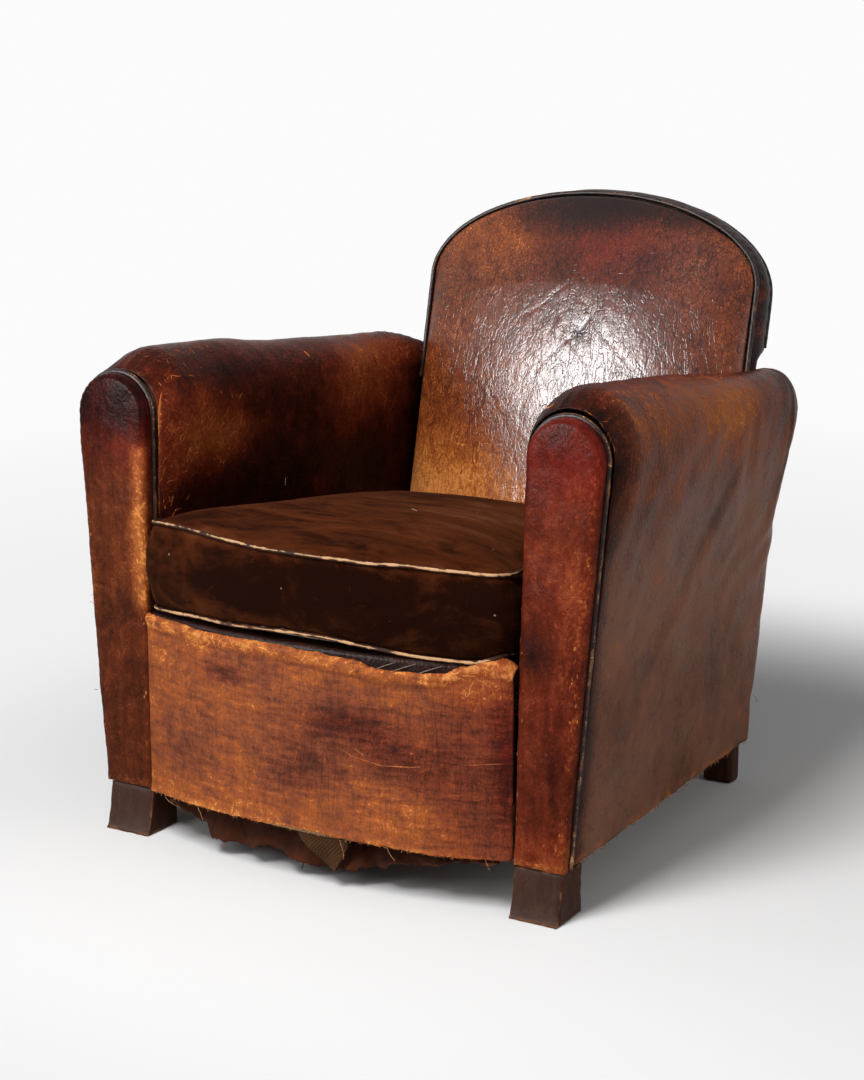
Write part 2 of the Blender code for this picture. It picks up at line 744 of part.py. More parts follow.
def facing(word, side):
    """The padded front panel of the arm: leather over a thin pad."""
    profile = ((0.0, 0.0160), (0.0, 0.0070), (-0.0014, 0.0034), (-0.0052, 0.0012), (-0.0150, 0.0))
    rings = [facing_ring(side, grow, depth) for grow, depth in profile]
    bm = bmesh.new()
    loops = [[bm.verts.new(p) for p in ring] for ring in rings]
    count = len(rings[0])
    for a, b in zip(loops, loops[1:]):
        for i in range(count):
            j = (i + 1) % count
            bm.faces.new((a[i], a[j], b[j], b[i]))
    bm.faces.new(loops[-1])
    bmesh.ops.recalc_face_normals(bm, faces=bm.faces[:])
    front = min(bm.faces, key=lambda f: f.calc_center_median().y)
    bm.normal_update()
    if front.normal.y > 0:
        bmesh.ops.reverse_faces(bm, faces=bm.faces[:])
    obj = add_mesh(bm, f"facing_leather_{word}", LEATHER, 0.4)
    wall = obj.modifiers.new("thickness", "SOLIDIFY")
    wall.thickness = HIDE
    wall.offset = -1
    wall.use_even_offset = True

    less = HIDE + GAP
    pad = [facing_ring(side, grow - less, depth)
           for grow, depth in ((-0.0004, 0.0116), (-0.0016, 0.0058), (-0.0060, 0.0040), (-0.0150, 0.0030))]
    loft(f"facing_pad_{word}", pad, COTTON, 0.95)


# ---- back ----

BACK_ACROSS = [-1, -0.93, -0.84, -0.70, -0.5, -0.25, 0, 0.25, 0.5, 0.70, 0.84, 0.93, 1]
BACK_UP = [0, 0.2, 0.4, 0.6, 0.75, 0.86, 0.93, 0.975, 1]


def back_padding():
    skin("inside_back_leather", inside_back_point, BACK_ACROSS, BACK_UP, HIDE, LEATHER, 0.38)

    def behind(a, b):
        p = inside_back_point(a, b)
        edge = rear_y(p.z) - 0.0386 + TOE_Y
        return Vector((p.x, min(p.y + BACK_PAD, edge), p.z))

    across, up = BACK_ACROSS[1:-1], BACK_UP[:-1]
    fore = laid_grid(inside_back_point, across, up, inset=HIDE + GAP)
    aft = laid_grid(behind, across, up, flip=True)
    mesh = bpy.data.meshes.new("half")
    aft.to_mesh(mesh)
    aft.free()
    fore.from_mesh(mesh)
    bpy.data.meshes.remove(mesh)
    rims = [e for e in fore.edges if e.is_boundary]
    bmesh.ops.bridge_loops(fore, edges=rims)
    bmesh.ops.recalc_face_normals(fore, faces=fore.faces[:])
    add_mesh(fore, "back_stuffing", HAIR, 0.95)


def back_covers():
    along = steps(-1, (-0.7, 5), (0.7, 20), (1, 5))
    skin("back_band", band_point, along, [0, 0.5, 1], HIDE, LEATHER, 0.42)

    def outline(low, rear, count=26):
        points = []
        for i in range(count + 1):
            x, z = back_outline(mix(-1, 1, i / count), low, rear, shrink=WELT - 0.0002)
            points.append(at(x, rear_y(z) - mix(BAND_DEPTH, 0.0004, rear), z))
        return points

    cord("back_front_piping", outline(0.520, 0), WELT, DARK_LEATHER, 0.45)
    cord("back_rear_piping", outline(0.590, 1), WELT, DARK_LEATHER, 0.45)
    up = [-1, -0.7, -0.4, -0.2, 0, 0.12, 0.25, 0.5, 0.75, 1]
    skin("outside_back_leather", outside_back_point, BACK_ACROSS, up, HIDE, DARK_LEATHER, 0.5, flip=True)


def back_springing():
    """Webbing on the rear faces of the posts, and four short coils in front of it."""
    web = LEG_BACK - 0.0004

    def surface(u, v):
        x, z = mix(-1, 1, u) * 0.232, mix(0.335, 0.722, v)
        return at(x, rear_y(z) - web, z)

    lattice("back_webbing", surface, 4, 3, 0.050, 0.052, 0.058, 0.0020)
    wire = 0.0016
    for row in range(2):
        for column in range(2):
            points = []
            for height, across, along in coil(4, 0.022, 0.009):
                x, z = (column - 0.5) * 0.150 + across, 0.455 + 0.140 * row + along
                padding = BAND_DEPTH + back_bulge(x / BACK_HALF, z) - BACK_PAD - 0.0018
                points.append(at(x, rear_y(z) - mix(web + GAP + wire, padding - wire, height), z))
            cord(f"back_spring_{row * 2 + column + 1}", points, wire, STEEL, 0.45, resolution=0)


# ---- cushion ----

def cushion():
    around = steps(0, (1, 36))
    rise = [0, 0.25, 0.5, 0.75, 1]
    top = steps(1, (0.9, 1), (0.7, 1), (0.45, 1), (0.2, 1), (0, 1))

    skin("cushion_top", lambda u, v: cushion_panel(u, v, True), around, top, CLOTH, VELVET, 0.9)
    skin("cushion_bottom", lambda u, v: cushion_panel(u, v, False), around, [1, CUSHION_FLAT, 0], CLOTH,
         VELVET, 0.9, flip=True)
    skin("cushion_boxing", cushion_side, around, rise, CLOTH, VELVET, 0.9)

    less = CLOTH + GAP
    rings = []
    count = 36
    for s in (CUSHION_FLAT, 0.97):
        ring = [cushion_panel(i / count, s, False) for i in range(count)]
        rings.append([Vector((p.x, p.y, p.z + less)) for p in ring])
    for w in (0.1, 0.5, 0.9):
        rings.append([cushion_side(i / count, w, less + 0.0012) for i in range(count)])
    for s in (0.9, 0.7, 0.45, 0.2):
        ring = [cushion_panel(i / count, s, True) for i in range(count)]
        rings.append([Vector((p.x, p.y, p.z - less - 0.0006)) for p in ring])
    loft("cushion_filling", rings, COTTON, 0.95)

    for name, low in (("cushion_top_piping", False), ("cushion_bottom_piping", True)):
        points = []
        for t in around[:-1]:
            x, y = cushion_outline(t, 0.0008)
            z = SEAM_LOW + 0.0006 if low else SEAM_HIGH - seam_dip(y) - 0.0002
            points.append(at(x, y, z + seat_fall(y)))
        cord(name, points, 0.0028, WELT_LEATHER, 0.6, closed=True)


# ---- torn cloth under the seat ----

def under_cloth():
    def low_edge(x):
        return 0.017 + 0.040 * ease((abs(x + 0.03) - 0.09) / 0.13)

    def dust(u, v):
        x = u * 0.250
        if v <= 1:
            sag = 0.012 * (1 - u * u) * math.sin(math.pi * v)
            return at(x, mix(0.560, 0.030, v), 0.0648 - sag)
        drop = v - 1
        return at(x, 0.030 - 0.028 * math.sin(drop * math.pi / 2), mix(0.0648, low_edge(x), drop ** 1.4))

    skin("dust_cover", dust, steps(-1, (1, 12)), [0, 0.3, 0.6, 0.85, 1, 1.33, 1.66, 2], 0.0010, VELVET, 0.9,
         flip=True)

    def flap(u, v):
        middle = mix(0.012, 0.022, v)
        half = mix(0.036, 0.006, v)
        return at(middle + u * half, bow(0) + 0.0048 + 0.012 * v, mix(RAIL_BOTTOM - 0.0004, 0.022, v))

    skin("burlap_flap", flap, [-1, 0, 1], steps(0, (1, 4)), 0.0010, JUTE, 0.9, flip=True)


def build():
    for word, side in SIDES:
        front_foot(word, side)
        rear_leg(word, side)
        arm_board(word, side)
        side_rail(word, side)
        tack_rail(word, side)
        arm_rail(word, side)
        arm_stuffing(word, side)
        arm_leather(word, side)
        arm_piping(word, side)
        facing(word, side)
    front_rail()
    rear_rails()
    crest_rail()
    seat_webbing()
    seat_springs()
    seat_sheets()
    front_edge()
    back_springing()
    back_padding()
    back_covers()
    cushion()
    under_cloth()


build()
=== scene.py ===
# %% [markdown]
# # A worn leather club chair
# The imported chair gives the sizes, the frame, the springs and the feet. This script dresses it: it lays a
# finer, creased hide over every panel, sews on the welts, fills the velvet cushion, tears the cloth under
# the seat and mixes the finishes. The frame comes first, because every place below is read from it.

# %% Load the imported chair
import math
import random

import bmesh
import bpy
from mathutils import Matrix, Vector, noise


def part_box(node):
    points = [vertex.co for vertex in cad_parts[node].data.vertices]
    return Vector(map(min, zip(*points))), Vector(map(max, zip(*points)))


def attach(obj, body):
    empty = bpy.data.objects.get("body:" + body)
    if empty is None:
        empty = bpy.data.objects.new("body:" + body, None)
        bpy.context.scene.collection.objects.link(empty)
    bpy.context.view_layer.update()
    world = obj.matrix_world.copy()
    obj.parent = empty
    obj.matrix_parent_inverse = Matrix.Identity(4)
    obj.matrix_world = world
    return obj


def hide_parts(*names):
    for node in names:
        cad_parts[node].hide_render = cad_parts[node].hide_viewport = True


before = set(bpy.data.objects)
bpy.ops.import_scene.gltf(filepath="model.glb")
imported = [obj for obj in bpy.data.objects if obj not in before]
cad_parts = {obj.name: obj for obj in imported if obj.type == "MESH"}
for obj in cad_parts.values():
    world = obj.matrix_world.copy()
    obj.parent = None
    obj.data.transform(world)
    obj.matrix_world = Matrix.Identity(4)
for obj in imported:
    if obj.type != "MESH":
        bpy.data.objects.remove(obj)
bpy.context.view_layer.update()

# %% [markdown]
# ## The places that everything is measured from
# The toe line is where the front feet end, and lengths along the chair are counted back from it. A helper
# turns such a length into a point, and a few small functions fade one number into another. They are used
# in every cell below, so they are kept as short as they can be.

# %% Toe line and fades
TOE = -0.3795
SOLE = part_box("front_foot_left")[0].z


def clamp(t):
    return min(max(t, 0.0), 1.0)


def ease(t):
    t = clamp(t)
    return t * t * (3 - 2 * t)


def mix(a, b, t):
    return a + (b - a) * t


def at(x, y, z):
    """A point from its distance behind the toe line."""
    return Vector((x, TOE + y, z))


def hump(value, middle, reach):
    """One at the middle, fading smoothly to nothing over the reach."""
    return math.exp(-((value - middle) / reach) ** 2)


# %% [markdown]
# ## Camera
# The chair is seen from the sitter's left, a little above the arms, from about two and a half metres with a
# short telephoto lens. The rotation is worked out from a heading and a tilt, which is easier to read than
# three angles, and the lens is measured on the picture's long side.

# %% Place the camera
CAMERA_HEADING = 0.5381
CAMERA_TILT = 0.2147
CAMERA_LENS = 70.57

camera_data = bpy.data.cameras.new("view")
camera_data.sensor_fit = "VERTICAL"
camera_data.sensor_height = 36
camera_data.lens = CAMERA_LENS
camera = bpy.data.objects.new("view", camera_data)
camera.location = at(1.3835, -2.044, 0.9617)
camera.rotation_euler = (math.pi / 2 - CAMERA_TILT, 0, CAMERA_HEADING)
bpy.context.scene.collection.objects.link(camera)
bpy.context.scene.camera = camera
print("camera at", [round(c, 3) for c in camera.location])

# %% [markdown]
# ## A short way to write node trees
# Every finish below is a tree of nodes. Written one link at a time such a tree hides its idea, so this
# helper makes a node from its kind and its inputs: a socket given as an input is linked, and a number or
# colour is set. The small functions after it each name one step that many finishes take, and find their
# tree from the sockets that they are given.

# %% Node helper
def fill(tree, made, inputs):
    """Link or set the inputs of a node."""
    for key, value in inputs.items():
        socket = made.inputs[key]
        if isinstance(value, bpy.types.NodeSocket):
            tree.links.new(value, socket)
        elif isinstance(value, tuple) and socket.type == "RGBA":
            socket.default_value = (*value, 1)
        else:
            socket.default_value = value
    return made


def node(tree, kind, inputs=None, **settings):
    made = tree.nodes.new("ShaderNode" + kind)
    for key, value in settings.items():
        setattr(made, key, value)
    return fill(tree, made, inputs or {})


def step(kind, inputs, **settings):
    """A node in the tree of the sockets that feed it."""
    tree = next(value.id_data for value in inputs.values() if isinstance(value, bpy.types.NodeSocket))
    return node(tree, kind, inputs, **settings)


def new_finish(name):
    """A material with its node tree, its Principled shader and the object's own places."""
    material = bpy.data.materials.new(name)
    material.use_nodes = True
    tree = material.node_tree
    return material, tree, tree.nodes["Principled BSDF"], node(tree, "TexCoord").outputs["Object"]


def painted_tone(tree):
    """The painted tone of a panel: rubbed, dark, red and lack of painted sheen."""
    tone = node(tree, "Attribute", attribute_name="tone").outputs
    return [*node(tree, "SeparateColor", {0: tone["Color"]}).outputs, tone["Alpha"]]


def maths(operation, a, b=0.0, c=0.0, clamped=False):
    return step("Math", {0: a, 1: b, 2: c}, operation=operation, use_clamp=clamped).outputs[0]


def plus(value, share, base):
    """The base with a share of the value added."""
    return maths("MULTIPLY_ADD", value, share, base)


def times(a, b):
    return maths("MULTIPLY", a, b)


def centred(value):
    return maths("SUBTRACT", value, 0.5)


def vector(operation, a, b=(0.0, 0.0, 0.0)):
    made = step("VectorMath", {0: a, 1: b}, operation=operation)
    return made.outputs["Value" if operation == "DOT_PRODUCT" else "Vector"]


def stretched(place, scale, turn=(0.0, 0.0, 0.0)):
    return step("Mapping", {"Vector": place, "Rotation": turn, "Scale": scale}).outputs[0]


def clouds(place, scale, detail, rough, warp=0.0):
    """A cloudy value from 0 to 1."""
    return step("TexNoise", {"Vector": place, "Scale": scale, "Detail": detail, "Roughness": rough,
                             "Distortion": warp}).outputs["Fac"]


def cells(place, scale, feature="F1"):
    return step("TexVoronoi", {"Vector": place, "Scale": scale}, feature=feature).outputs


def spread(value, low, high, to_low=0.0, to_high=1.0):
    """Stretch a value from low..high smoothly onto to_low..to_high."""
    return step("MapRange", {"Value": value, "From Min": low, "From Max": high, "To Min": to_low,
                             "To Max": to_high}, interpolation_type="SMOOTHSTEP").outputs["Result"]


def mixed(amount, a, b):
    return step("Mix", {0: amount, 6: a, 7: b}, data_type="RGBA").outputs[2]


def bumped(height, distance, strength=1.0):
    return step("Bump", {"Height": height, "Strength": strength, "Distance": distance}).outputs[0]


def drift(place, scale):
    """A cloud of colours, whose three parts move a place three ways."""
    return step("TexNoise", {"Vector": place, "Scale": scale, "Detail": 2.0}).outputs["Color"]


def one_part(colour):
    return step("SeparateColor", {0: colour}).outputs[0]


# %% [markdown]
# ## Studio light
# The main soft box hangs high in front, and throws the shadow back and to the right of the picture. A
# weaker one stands lower on the left, and a third opens the side of the arm on the right. The two front
# boxes light but are not mirrored: one lamp is there for the mirror image alone, so the polished back keeps
# a single clear gleam whose strength is set apart from the light. The world is a plain sweep: it lights
# gently, and the camera and reflections see it white.

# %% Lights and world
WORLD_LIGHT = 0.20
WORLD_WHITE = 0.97


def soft_box(name, place, aim, size, watts):
    light = bpy.data.lights.new(name, "AREA")
    light.shape = "RECTANGLE"
    light.size, light.size_y = size
    light.energy = watts
    lamp = bpy.data.objects.new(name, light)
    lamp.location = place
    lamp.rotation_euler = (Vector(aim) - Vector(place)).to_track_quat("-Z", "Y").to_euler()
    bpy.context.scene.collection.objects.link(lamp)
    return lamp


high_box = soft_box("high_box", (-0.08, -1.93, 2.62), (0, 0, 0.30), (0.95, 1.5), 98)
left_box = soft_box("left_box", (-0.85, -2.80, 1.50), (0, 0.2, 0.55), (0.9, 1.0), 16)
high_box.visible_glossy = left_box.visible_glossy = False
gleam = soft_box("gleam", (-1.30, -2.68, 1.28), (0, 0.2, 0.60), (1.05, 1.05), 265)
gleam.data.shape = "ELLIPSE"
gleam.visible_diffuse = False
soft_box("right_box", (2.7, -0.1, 1.3), (0.3, 0, 0.4), (1.4, 1.6), 15)


def seen_plainly(tree):
    """One for rays from the camera, in a mirror image or through glass, and zero for rays that light."""
    path = node(tree, "LightPath").outputs
    seen = maths("MAXIMUM", path["Is Camera Ray"], path["Is Glossy Ray"])
    return maths("MAXIMUM", seen, path["Is Transmission Ray"])


bpy.context.scene.view_settings.view_transform = "Standard"
world = bpy.data.worlds.new("sweep")
bpy.context.scene.world = world
world.use_nodes = True
sky = world.node_tree
sky.nodes.clear()
strength = node(sky, "MapRange", {"Value": seen_plainly(sky), "To Min": WORLD_LIGHT, "To Max": WORLD_WHITE})
sky_light = node(sky, "Background", {"Color": (1, 1, 1), "Strength": strength.outputs["Result"]})
node(sky, "OutputWorld", {"Surface": sky_light.outputs[0]})

# %% [markdown]
# ## Floor
# The floor is one wide pale sheet, matt grey where it takes the chair's shadow. Further off it turns into a
# plain pale tone that grows to the white of the sweep and gives no light, so that no horizon line is left.
# The fade follows a rounded square about the chair and its shadow, so the four feet all stand on the part
# that is really lit.

# %% Pale floor
FLOOR_SIZE = 30
FLOOR_GREY = 0.74
SHADOW_MIDDLE = (0.12, 0.10, 0.0)
SHADOW_REACH = (0.60, 0.68, 1.0)
FADE = (0.80, 1.90)
WHITENING = (1.6, 5.8)
NEAR_WHITE = 0.865

floor_form = bmesh.new()
bmesh.ops.create_grid(floor_form, x_segments=4, y_segments=4, size=FLOOR_SIZE)
bmesh.ops.translate(floor_form, verts=floor_form.verts[:], vec=(0, 0, SOLE))
floor_mesh = bpy.data.meshes.new("floor")
floor_form.to_mesh(floor_mesh)
floor_form.free()
floor = bpy.data.objects.new("floor", floor_mesh)
bpy.context.scene.collection.objects.link(floor)

floor_finish, tree, shader, place = new_finish("studio_floor")
fill(tree, shader, {"Base Color": (FLOOR_GREY,) * 3, "Roughness": 0.9, "Specular IOR Level": 0.0})
off = vector("DIVIDE", vector("SUBTRACT", place, SHADOW_MIDDLE), SHADOW_REACH)
off = vector("MULTIPLY", off, off)
away = maths("POWER", vector("DOT_PRODUCT", off, off), 0.25)
shown = times(spread(away, *FADE), seen_plainly(tree))
plain = mixed(spread(away, *WHITENING), (NEAR_WHITE,) * 3, (WORLD_WHITE,) * 3)
white = node(tree, "Emission", {"Color": plain, "Strength": 1.0})
both = node(tree, "MixShader", {0: shown, 1: shader.outputs[0], 2: white.outputs[0]})
tree.links.new(both.outputs[0], tree.nodes["Material Output"].inputs["Surface"])
floor_mesh.materials.append(floor_finish)
print("floor finish:", floor_finish.name)

# %% [markdown]
# ## Leather
# Old club leather is not one colour. It is one hide whose finish has worn to different depths: nearly black
# where dirt and hands have polished it, brown where it is whole, tan and then orange where it is rubbed
# through. So the finish below works with one number, the wear, and reads its colour from a ramp. Each panel
# carries a painted attribute named tone, with rubbed, dark and red in its three colours and the lack of a
# painted grey sheen in its fourth; in a few places rubbed and dark also hold painted highlight and shade.
# Clouds, hair scratches, flakes and creases then break those soft areas up at the scale of millimetres, and
# the creases and veins are painted darker, as painted shade in their grooves.

# %% Leather colours
WORN_RAMP = [(0.00, (0.010, 0.0035, 0.0025)), (0.22, (0.034, 0.0085, 0.0040)),
             (0.42, (0.098, 0.0220, 0.0075)), (0.60, (0.200, 0.0500, 0.0120)),
             (0.78, (0.350, 0.1020, 0.0200)), (1.00, (0.600, 0.2300, 0.0600))]
RED_RAMP = [(0.00, (0.012, 0.0024, 0.0020)), (0.25, (0.050, 0.0050, 0.0030)),
            (0.50, (0.135, 0.0130, 0.0065)), (0.75, (0.240, 0.0420, 0.0150)),
            (1.00, (0.480, 0.1500, 0.0420))]
APRON_RAMP = [(0.00, (0.040, 0.0130, 0.0090)), (0.22, (0.100, 0.0270, 0.0140)),
              (0.42, (0.190, 0.0520, 0.0220)), (0.60, (0.300, 0.0780, 0.0200)),
              (0.78, (0.430, 0.1250, 0.0280)), (1.00, (0.680, 0.2900, 0.0800))]
WELT_RAMP = [(0.0, (0.008, 0.003, 0.002)), (0.4, (0.030, 0.010, 0.006)), (0.7, (0.16, 0.070, 0.025)),
             (1.0, (0.48, 0.27, 0.13))]
CORD_RAMP = [(0.0, (0.020, 0.007, 0.003)), (0.30, (0.070, 0.026, 0.012)), (0.55, (0.26, 0.130, 0.062)),
             (1.0, (0.50, 0.30, 0.155))]
PAINTED_SHEEN_COLOUR = (0.185, 0.094, 0.060)


def ramp(value, stops):
    """Colours along a value, with a smooth blend between the stops."""
    made = step("ValToRGB", {"Fac": value})
    bar = made.color_ramp
    while len(bar.elements) < len(stops):
        bar.elements.new(0.5)
    for element, (place, colour) in zip(bar.elements, stops):
        element.position = place
        element.color = (*colour, 1)
    return made.outputs["Color"]


def creep(place, scale, reach):
    """The same places, each moved a little by a cloud, so that straight things bend."""
    move = vector("SUBTRACT", drift(place, scale), (0.5, 0.5, 0.5))
    return vector("ADD", place, vector("MULTIPLY", move, (2 * reach,) * 3))


def scratches(place, scale, width, shift):
    """One short stroke in a random direction through every cell, as a thin plane cut by the surface."""
    moved = vector("ADD", place, (shift, shift, shift))
    cell = cells(moved, scale)
    away = vector("SUBTRACT", moved, cell["Position"])
    lean = vector("NORMALIZE", vector("SUBTRACT", cell["Color"], (0.5, 0.5, 0.5)))
    off = maths("ABSOLUTE", vector("DOT_PRODUCT", away, lean))
    return times(spread(off, width, width * 0.3), spread(cell["Distance"], 0.60, 0.30))


def hair_lines(place, scale, stretch, turn, width):
    """Long wandering lines, where a stretched cloud crosses its middle value."""
    cloud = clouds(stretched(place, stretch, turn), scale, 1.5, 0.5, 0.4)
    return spread(maths("ABSOLUTE", centred(cloud)), width, 0.0)


# %% Leather finish
def leather(name, colours=WORN_RAMP, level=0.42, gloss=0.42, rub_gloss=0.22, uneven=0.55, scored=1.0,
            flaked=0.5, creases=0.2, crease_size=(150, 150, 110), veins=0.0, lean=0.0, streaked=0.0,
            streak_size=(1, 1, 1), bump=0.0010, specular=0.06, coat=0.0, coat_gloss=0.16):
    """A worn hide. Level is its wear where nothing is painted, and gloss how rough that is."""
    material, tree, shader, place = new_finish(name)
    rubbed, darkened, reddened, no_painted_sheen = painted_tone(tree)
    cloudy = clouds(place, 10.0, 5.0, 0.62, 0.5)
    patchy = clouds(place, 48.0, 8.0, 0.72, 0.6)
    fine = clouds(place, 340.0, 5.0, 0.70)
    bent = creep(place, 60.0, 0.004)

    wear = plus(darkened, -0.50, plus(rubbed, 0.62, level))
    for cloud, share in ((cloudy, 1.5), (patchy, 2.0), (fine, 1.2)):
        wear = plus(centred(cloud), uneven * share, wear)
    if streaked:
        drawn = clouds(stretched(bent, streak_size), 1.0, 6.0, 0.66)
        wear = plus(centred(drawn), streaked, wear)

    # hair scratches lie where the hide is rubbed at all, and thin out into the dark areas
    strokes = 0.0
    for scale, width, shift in ((36.0, 0.00085, 3.1), (62.0, 0.00065, 7.7), (105.0, 0.00050, 1.3)):
        strokes = maths("MAXIMUM", strokes, scratches(bent, scale, width, shift))
    tender = spread(plus(patchy, 1.2, plus(cloudy, 1.2, rubbed)), 1.22, 1.82)
    strokes = times(strokes, tender)
    wear = plus(strokes, 0.42 * scored, wear)

    # flakes: small chips of finish gone, mostly in rubbed places
    chip = cells(bent, 210.0)
    picked = spread(plus(tender, 0.30, one_part(chip["Color"])), 1.02, 1.06)
    chips = times(spread(chip["Distance"], 0.42, 0.22), picked)
    wear = plus(chips, 0.32 * flaked, wear)

    # creases: a net of small valleys, painted darker in the valleys as painted shade
    net = stretched(creep(place, 35.0, 0.006), crease_size)
    near = cells(net, 1.0, "DISTANCE_TO_EDGE")["Distance"]
    valley = times(spread(near, 0.17, 0.0), spread(patchy, 0.35, 0.7))
    wear = plus(valley, -0.28 * creases, wear)
    height = times(spread(near, 0.0, 0.30), 0.55 * creases)
    if veins:
        lines = 0.0
        for stretch, turn, width in (((56, 56, 8), 0.06, 0.030), ((70, 70, 18), -0.5, 0.022),
                                     ((64, 64, 14), 0.7, 0.018)):
            line = hair_lines(place, 1.0, stretch, (0, lean + turn, 0), width)
            lines = maths("MAXIMUM", lines, line)
        height = plus(lines, -1.25 * veins, height)
        # the veins are painted darker too, as painted shade in their grooves
        wear = plus(lines, -0.20 * veins, wear)

    redness = spread(plus(cloudy, 0.3, reddened), 0.25, 1.05)
    colour = mixed(redness, ramp(wear, colours), ramp(wear, RED_RAMP))

    # painted sheen: a grey brown mixed in where the fourth part of the tone asks for it, standing in for the
    # pale reflection
    painted_sheen_share = times(maths("SUBTRACT", 1.0, no_painted_sheen), spread(patchy, 0.2, 0.75, 0.6, 1.0))
    colour = mixed(painted_sheen_share, colour, PAINTED_SHEEN_COLOUR)

    # relief: pores, chips and scratches on top of the creases
    pores = clouds(place, 950.0, 2.0, 0.55)
    for layer, share in ((fine, 0.30), (pores, 0.16), (patchy, 0.45), (strokes, -0.20), (chips, -0.20)):
        height = plus(layer, share, height)
    relief = bumped(height, bump)

    rough = spread(wear, 0.35, 0.85, gloss, gloss + rub_gloss)
    rough = plus(centred(patchy), 0.22, rough)
    rough = maths("MULTIPLY_ADD", strokes, 0.12, rough, clamped=True)
    fill(tree, shader, {"Base Color": colour, "Roughness": rough, "Normal": relief,
                        "Specular IOR Level": specular, "Coat Weight": coat, "Coat Roughness": coat_gloss})
    if coat:
        fill(tree, shader, {"Coat Normal": relief})
    return material


hide_finish = leather("club_hide", gloss=0.29, rub_gloss=0.26, creases=0.45, specular=0.025, uneven=0.34,
                      scored=0.5, streaked=0.5, streak_size=(60, 26, 18))
back_finish = leather("back_hide", gloss=0.36, rub_gloss=0.18, coat=0.38, coat_gloss=0.22, creases=1.1,
                      crease_size=(215, 215, 130), veins=0.75, bump=0.00013, uneven=0.34, scored=0.55)
facing_finish = leather("facing_hide", gloss=0.24, rub_gloss=0.26, specular=0.025, uneven=0.30, scored=0.30,
                        streaked=0.48, streak_size=(70, 70, 12))
apron_finish = leather("apron_hide", colours=APRON_RAMP, gloss=0.52, rub_gloss=0.15, creases=0.25,
                       crease_size=(260, 260, 260), veins=0.35, lean=1.25, uneven=0.38, scored=0.8,
                       flaked=0.6, specular=0.03, streaked=0.80, streak_size=(26, 26, 150))
dark_hide_finish = leather("dark_hide", level=0.34, creases=0.5, scored=0.3)
welt_finish = leather("welt_hide", colours=WELT_RAMP, level=0.34, uneven=0.4, specular=0.2)
cord_finish = leather("cushion_cord", colours=CORD_RAMP, level=0.46, gloss=0.62, specular=0.1)
print("leathers:", [m.name for m in bpy.data.materials])

# %% [markdown]
# ## Laying a sheet
# Leather and cloth start flat, so each panel starts as one flat grid from bmesh, whose points are then put
# where a small function says. The same function carries the relief, such as puckers and ripples, and paints
# the tone. Solidify gives the sheet its thickness afterwards, inwards, so that the face stays where it was
# put.

# %% Sheet helper
TOUCH = 0.00002


def wobble(x, y, z=0.0):
    """A wandering value, about -1 to 1."""
    return noise.noise(Vector((x, y, z)))


def cloud_at(p, scale, shift, octaves=4):
    """The same kind of cloudy value as in the finishes, for use on the mesh: about 0 to 1."""
    q = Vector((p.x * scale + shift, p.y * scale - shift, p.z * scale + 2.3 * shift))
    return 0.5 + 0.5 * noise.fractal(q, 1.0, 2.0, octaves)


def blob(p, centre, reach):
    """One at the centre, fading out over a different reach each way."""
    return math.exp(-sum(((p[i] - centre[i]) / reach[i]) ** 2 for i in range(3)))


def spot(p, x, z, wide, high):
    """One at a place on a panel that faces the front, fading out sideways and up and down."""
    return math.exp(-((p.x - x) / wide) ** 2 - ((p.z - z) / high) ** 2)


def even(count, low=0.0, high=1.0):
    return [mix(low, high, i / count) for i in range(count + 1)]


def lay(place, us, vs, relief=None, tone=None, flip=False, dropped=None, cloth=(1.0, 1.0)):
    """A bmesh grid with its points at place(u, v), raised by relief(u, v, p) and painted by tone(u, v, p)."""
    form = bmesh.new()
    across, along = len(us) - 1, len(vs) - 1
    layer = form.verts.layers.float_color.new("tone")
    bmesh.ops.create_grid(form, x_segments=across, y_segments=along, size=0.5, calc_uvs=False)
    uv = form.loops.layers.uv.new("cut")
    spots = {}
    for v in form.verts:
        spots[v] = (us[round((v.co.x + 0.5) * across)], vs[round((v.co.y + 0.5) * along)])
    for face in form.faces:
        for loop in face.loops:
            u, w = spots[loop.vert]
            loop[uv].uv = (u * cloth[0], w * cloth[1])
    if dropped:
        gone = [f for f in form.faces if dropped(*[sum(spots[v][k] for v in f.verts) / 4 for k in (0, 1)])]
        bmesh.ops.delete(form, geom=gone, context="FACES")
        spots = {v: spots[v] for v in form.verts}
    for v, (u, w) in spots.items():
        v.co = place(u, w)
    if flip:
        bmesh.ops.reverse_faces(form, faces=form.faces[:])
    form.normal_update()
    if relief:
        raised = [(v, v.normal * relief(*spots[v], v.co)) for v in spots]
        for v, move in raised:
            v.co += move
    for v, (u, w) in spots.items():
        painted = tone(u, w, v.co) if tone else (0.0, 0.0, 0.0)
        v[layer] = (*painted, 1.0)[:4]
    return form


def piece(form, name, finish, stands_for=(), thick=0.0, merge=TOUCH):
    """Make a form a finished piece that rides on the chair."""
    if merge:
        bmesh.ops.remove_doubles(form, verts=form.verts[:], dist=merge)
    mesh = bpy.data.meshes.new(name)
    form.to_mesh(mesh)
    form.free()
    mesh.shade_smooth()
    mesh.materials.append(finish)
    made = bpy.data.objects.new(name, mesh)
    bpy.context.scene.collection.objects.link(made)
    if thick:
        wall = made.modifiers.new("thickness", "SOLIDIFY")
        wall.thickness = thick
        wall.offset = -1
    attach(made, "root")
    if stands_for:
        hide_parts(*stands_for)
    print(name, len(mesh.polygons), "faces")
    return made


# %% [markdown]
# ## The lines of the chair
# The panels share a few lines: how far the facings and the back lean, how the arm swells out behind its
# facing, how high it stands and where it turns round the rear corner. They are kept as small functions of
# the distance behind the toe line, so that two neighbouring panels can never disagree.

